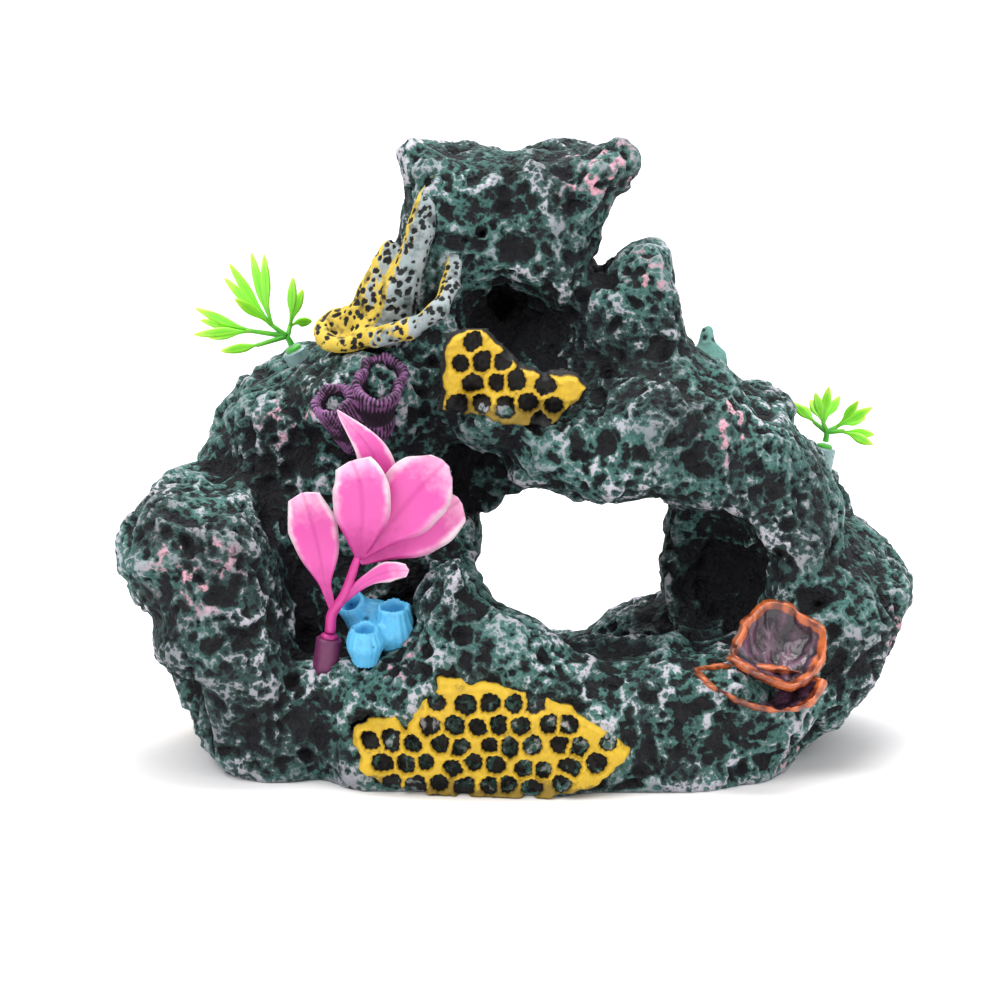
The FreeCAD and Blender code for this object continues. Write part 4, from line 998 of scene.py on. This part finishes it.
def build_pink_plant():
    """The pink plant's stem and its six leaves."""
    pink = leaf_plastic("pink_leaf", (0.42, 0.02, 0.20), (0.66, 0.085, 0.36), (0.84, 0.42, 0.60),
                        (0.86, 0.72, 0.76), 0.12)
    neck, _ = joint_place("sway_pink")
    _, axis = joint_place("turn_pink")
    path = [neck + axis * 0.3, neck + axis * 1.5] + PINK_STEM
    stem = marked_piece("pink_stem", stalk_shape(path, [1.5, 1.4, 1.3, 1.2, 0.8]), "stem_pink")
    stem.data.materials.append(plain_plastic("magenta_stem", (0.42, 0.012, 0.16), (0.66, 0.06, 0.33), 0.4))
    stands_for(stem, "pink_spray", "stem_pink")
    for number, (node, (path, widths, thick, cup)) in enumerate(PINK_LEAVES.items()):
        piece = marked_piece(node + "_blade", leaf_shape(path, widths, thick, cup, number), node)
        piece.data.materials.append(pink)
        stands_for(piece, "pink_spray", node)


def leaflet_shape(joint, branch, tip, seed):
    """A green leaflet on its stalk."""
    joint, branch, tip = (np.array(p, float) for p in (joint, branch, tip))
    start = joint * 0.25 + branch * 0.75
    bend = branch + (tip - branch) * 0.3
    belly = bend + (tip - bend) * 0.42
    widths = [0.36, 0.36, 1.45, 1.35, 0.35]
    return leaf_shape([start, bend, belly, tip], widths, 0.7, 0.12, seed, rows=18, columns=5)


def build_green_plant(side, fronds):
    """A feathery spray as one piece."""
    node = "spray_" + side
    neck, _ = joint_place("sway_" + side)
    _, axis = joint_place("turn_" + side)
    start, first = neck + axis * 0.3, np.array(fronds[0][0], float)
    shapes = [stalk_shape([start, start + axis * 1.2, first], [0.95, 0.85, 0.8], 10, 10)]
    marks = [(0.0, 0.1)]
    for joint, branch, tips in fronds:
        middle = (np.array(joint) + np.array(branch)) / 2
        shapes.append(stalk_shape([joint, middle, branch], [0.8, 0.6], 8, 8))
        marks.append((0.1, 0.3))
        for number, tip in enumerate(tips):
            shapes.append(leaflet_shape(joint, branch, tip, number))
            marks.append((0.2, 1.0))
    points, faces, along, across = [], [], [], []
    for (some, quads, t, u), (low, high) in zip(shapes, marks):
        faces += [tuple(v + len(points) for v in quad) for quad in quads]
        points += list(some)
        along += [low + (high - low) * value for value in t]
        across += u
    piece = marked_piece("green_" + side, (points, faces, along, across), node)
    piece.data.materials.append(green_plastic())
    stands_for(piece, side + "_spray", node)


def green_plastic():
    """The plastic that both green sprays share."""
    if "green_leaf" in bpy.data.materials:
        return bpy.data.materials["green_leaf"]
    return leaf_plastic("green_leaf", (0.045, 0.36, 0.02), (0.26, 0.74, 0.04), (0.62, 0.86, 0.10),
                        (0.45, 0.82, 0.08), 0.35)


def dress_sockets():
    """The sleeves and pins keep their CAD shape and get their own plastics."""
    plum = plain_plastic("plum_sleeve", (0.06, 0.01, 0.04), (0.20, 0.03, 0.12), 0.45)
    teal = plain_plastic("teal_sleeve", (0.16, 0.32, 0.32), (0.36, 0.52, 0.52), 0.3, 0.3)
    magenta = plain_plastic("magenta_pin", (0.35, 0.01, 0.14), (0.55, 0.04, 0.26), 0.4)
    green = plain_plastic("green_pin", (0.03, 0.30, 0.02), (0.10, 0.50, 0.05), 0.4)
    for node, material in (("sleeve_pink", plum), ("sleeve_green_left", teal), ("sleeve_green_right", teal),
                           ("pin_pink", magenta), ("pin_green_left", green), ("pin_green_right", green)):
        for slot in frame["nodes"][node].material_slots:
            slot.material = material


# ---------------------------------------------------------------- stage
# Each light's name, place and size in metres, and power in watts.
LIGHTS = [("key", (-0.75, -0.85, 1.15), 1.1, 15.0), ("fill", (0.95, -0.75, 0.7), 1.1, 7.0),
          ("top", (0.1, 0.25, 1.3), 0.9, 12.0), ("backdrop", (0.0, 0.5, 1.5), 1.5, 22.0)]
SKY_STRENGTH = 0.58
CAMERA_RISE = 11.0         # degrees that the camera looks down by
CAMERA_DISTANCE = 1.0      # metres from its target
VIEW_WIDTH = 0.28          # metres across the view at the target


def build_sweep():
    """A pale sheet of paper that curves up behind the object."""
    rows = [(-1.6, 0.0), (0.9, 0.0)]
    for n in range(1, 13):
        turn = n / 12 * math.pi / 2
        rows.append((0.9 + 0.7 * math.sin(turn), 0.7 - 0.7 * math.cos(turn)))
    rows.append((1.6, 2.6))
    points = [(x, y, z) for y, z in rows for x in (-2.4, 2.4)]
    faces = [(2 * n, 2 * n + 1, 2 * n + 3, 2 * n + 2) for n in range(len(rows) - 1)]
    mesh = bpy.data.meshes.new("sweep")
    mesh.from_pydata(points, [], faces)
    mesh.polygons.foreach_set("use_smooth", [True] * len(mesh.polygons))
    sweep = linked("sweep", mesh)
    paper = Shader("white_paper")
    tone = paper.blend(paper.noise(900.0, 1.0), (0.84, 0.83, 0.84), (0.86, 0.85, 0.86))
    mesh.materials.append(paper.finish(tone, 0.9))


def build_lights(target):
    world = bpy.data.worlds.new("studio")
    bpy.context.scene.world = world
    world.use_nodes = True
    world.node_tree.nodes["Background"].inputs["Color"].default_value = (1.0, 1.0, 1.0, 1.0)
    world.node_tree.nodes["Background"].inputs["Strength"].default_value = SKY_STRENGTH
    for name, place, size, power in LIGHTS:
        lamp = bpy.data.lights.new(name, "AREA")
        lamp.energy = power
        lamp.size = size
        light = bpy.data.objects.new(name, lamp)
        light.location = place
        aim = target if name != "backdrop" else Vector((0, 1.4, 0.5))
        light.rotation_mode = "QUATERNION"
        light.rotation_quaternion = (aim - light.location).to_track_quat("-Z", "Y")
        bpy.context.scene.collection.objects.link(light)


def build_camera(target):
    view = bpy.data.cameras.new("camera")
    camera = bpy.data.objects.new("camera", view)
    bpy.context.scene.collection.objects.link(camera)
    rise = math.radians(CAMERA_RISE)
    back = Vector((0.0, -math.cos(rise), math.sin(rise)))
    camera.location = target + back * CAMERA_DISTANCE
    camera.rotation_mode = "QUATERNION"
    camera.rotation_quaternion = (-back).to_track_quat("-Z", "Y")
    view.sensor_width = 36.0
    view.lens = view.sensor_width * CAMERA_DISTANCE / VIEW_WIDTH
    view.shift_x = -0.008
    view.clip_end = 10.0
    bpy.context.scene.camera = camera
    bpy.context.scene.view_settings.view_transform = "Standard"
    bpy.context.scene.view_settings.exposure = 0.0


build_corals(build_rock())
build_pink_plant()
build_green_plant("green_left", GREEN_LEFT)
build_green_plant("green_right", GREEN_RIGHT)
dress_sockets()
build_sweep()
middle = Vector(SHIFT * MM) + Vector((0, 0, 0.069))
build_lights(middle)
build_camera(middle)
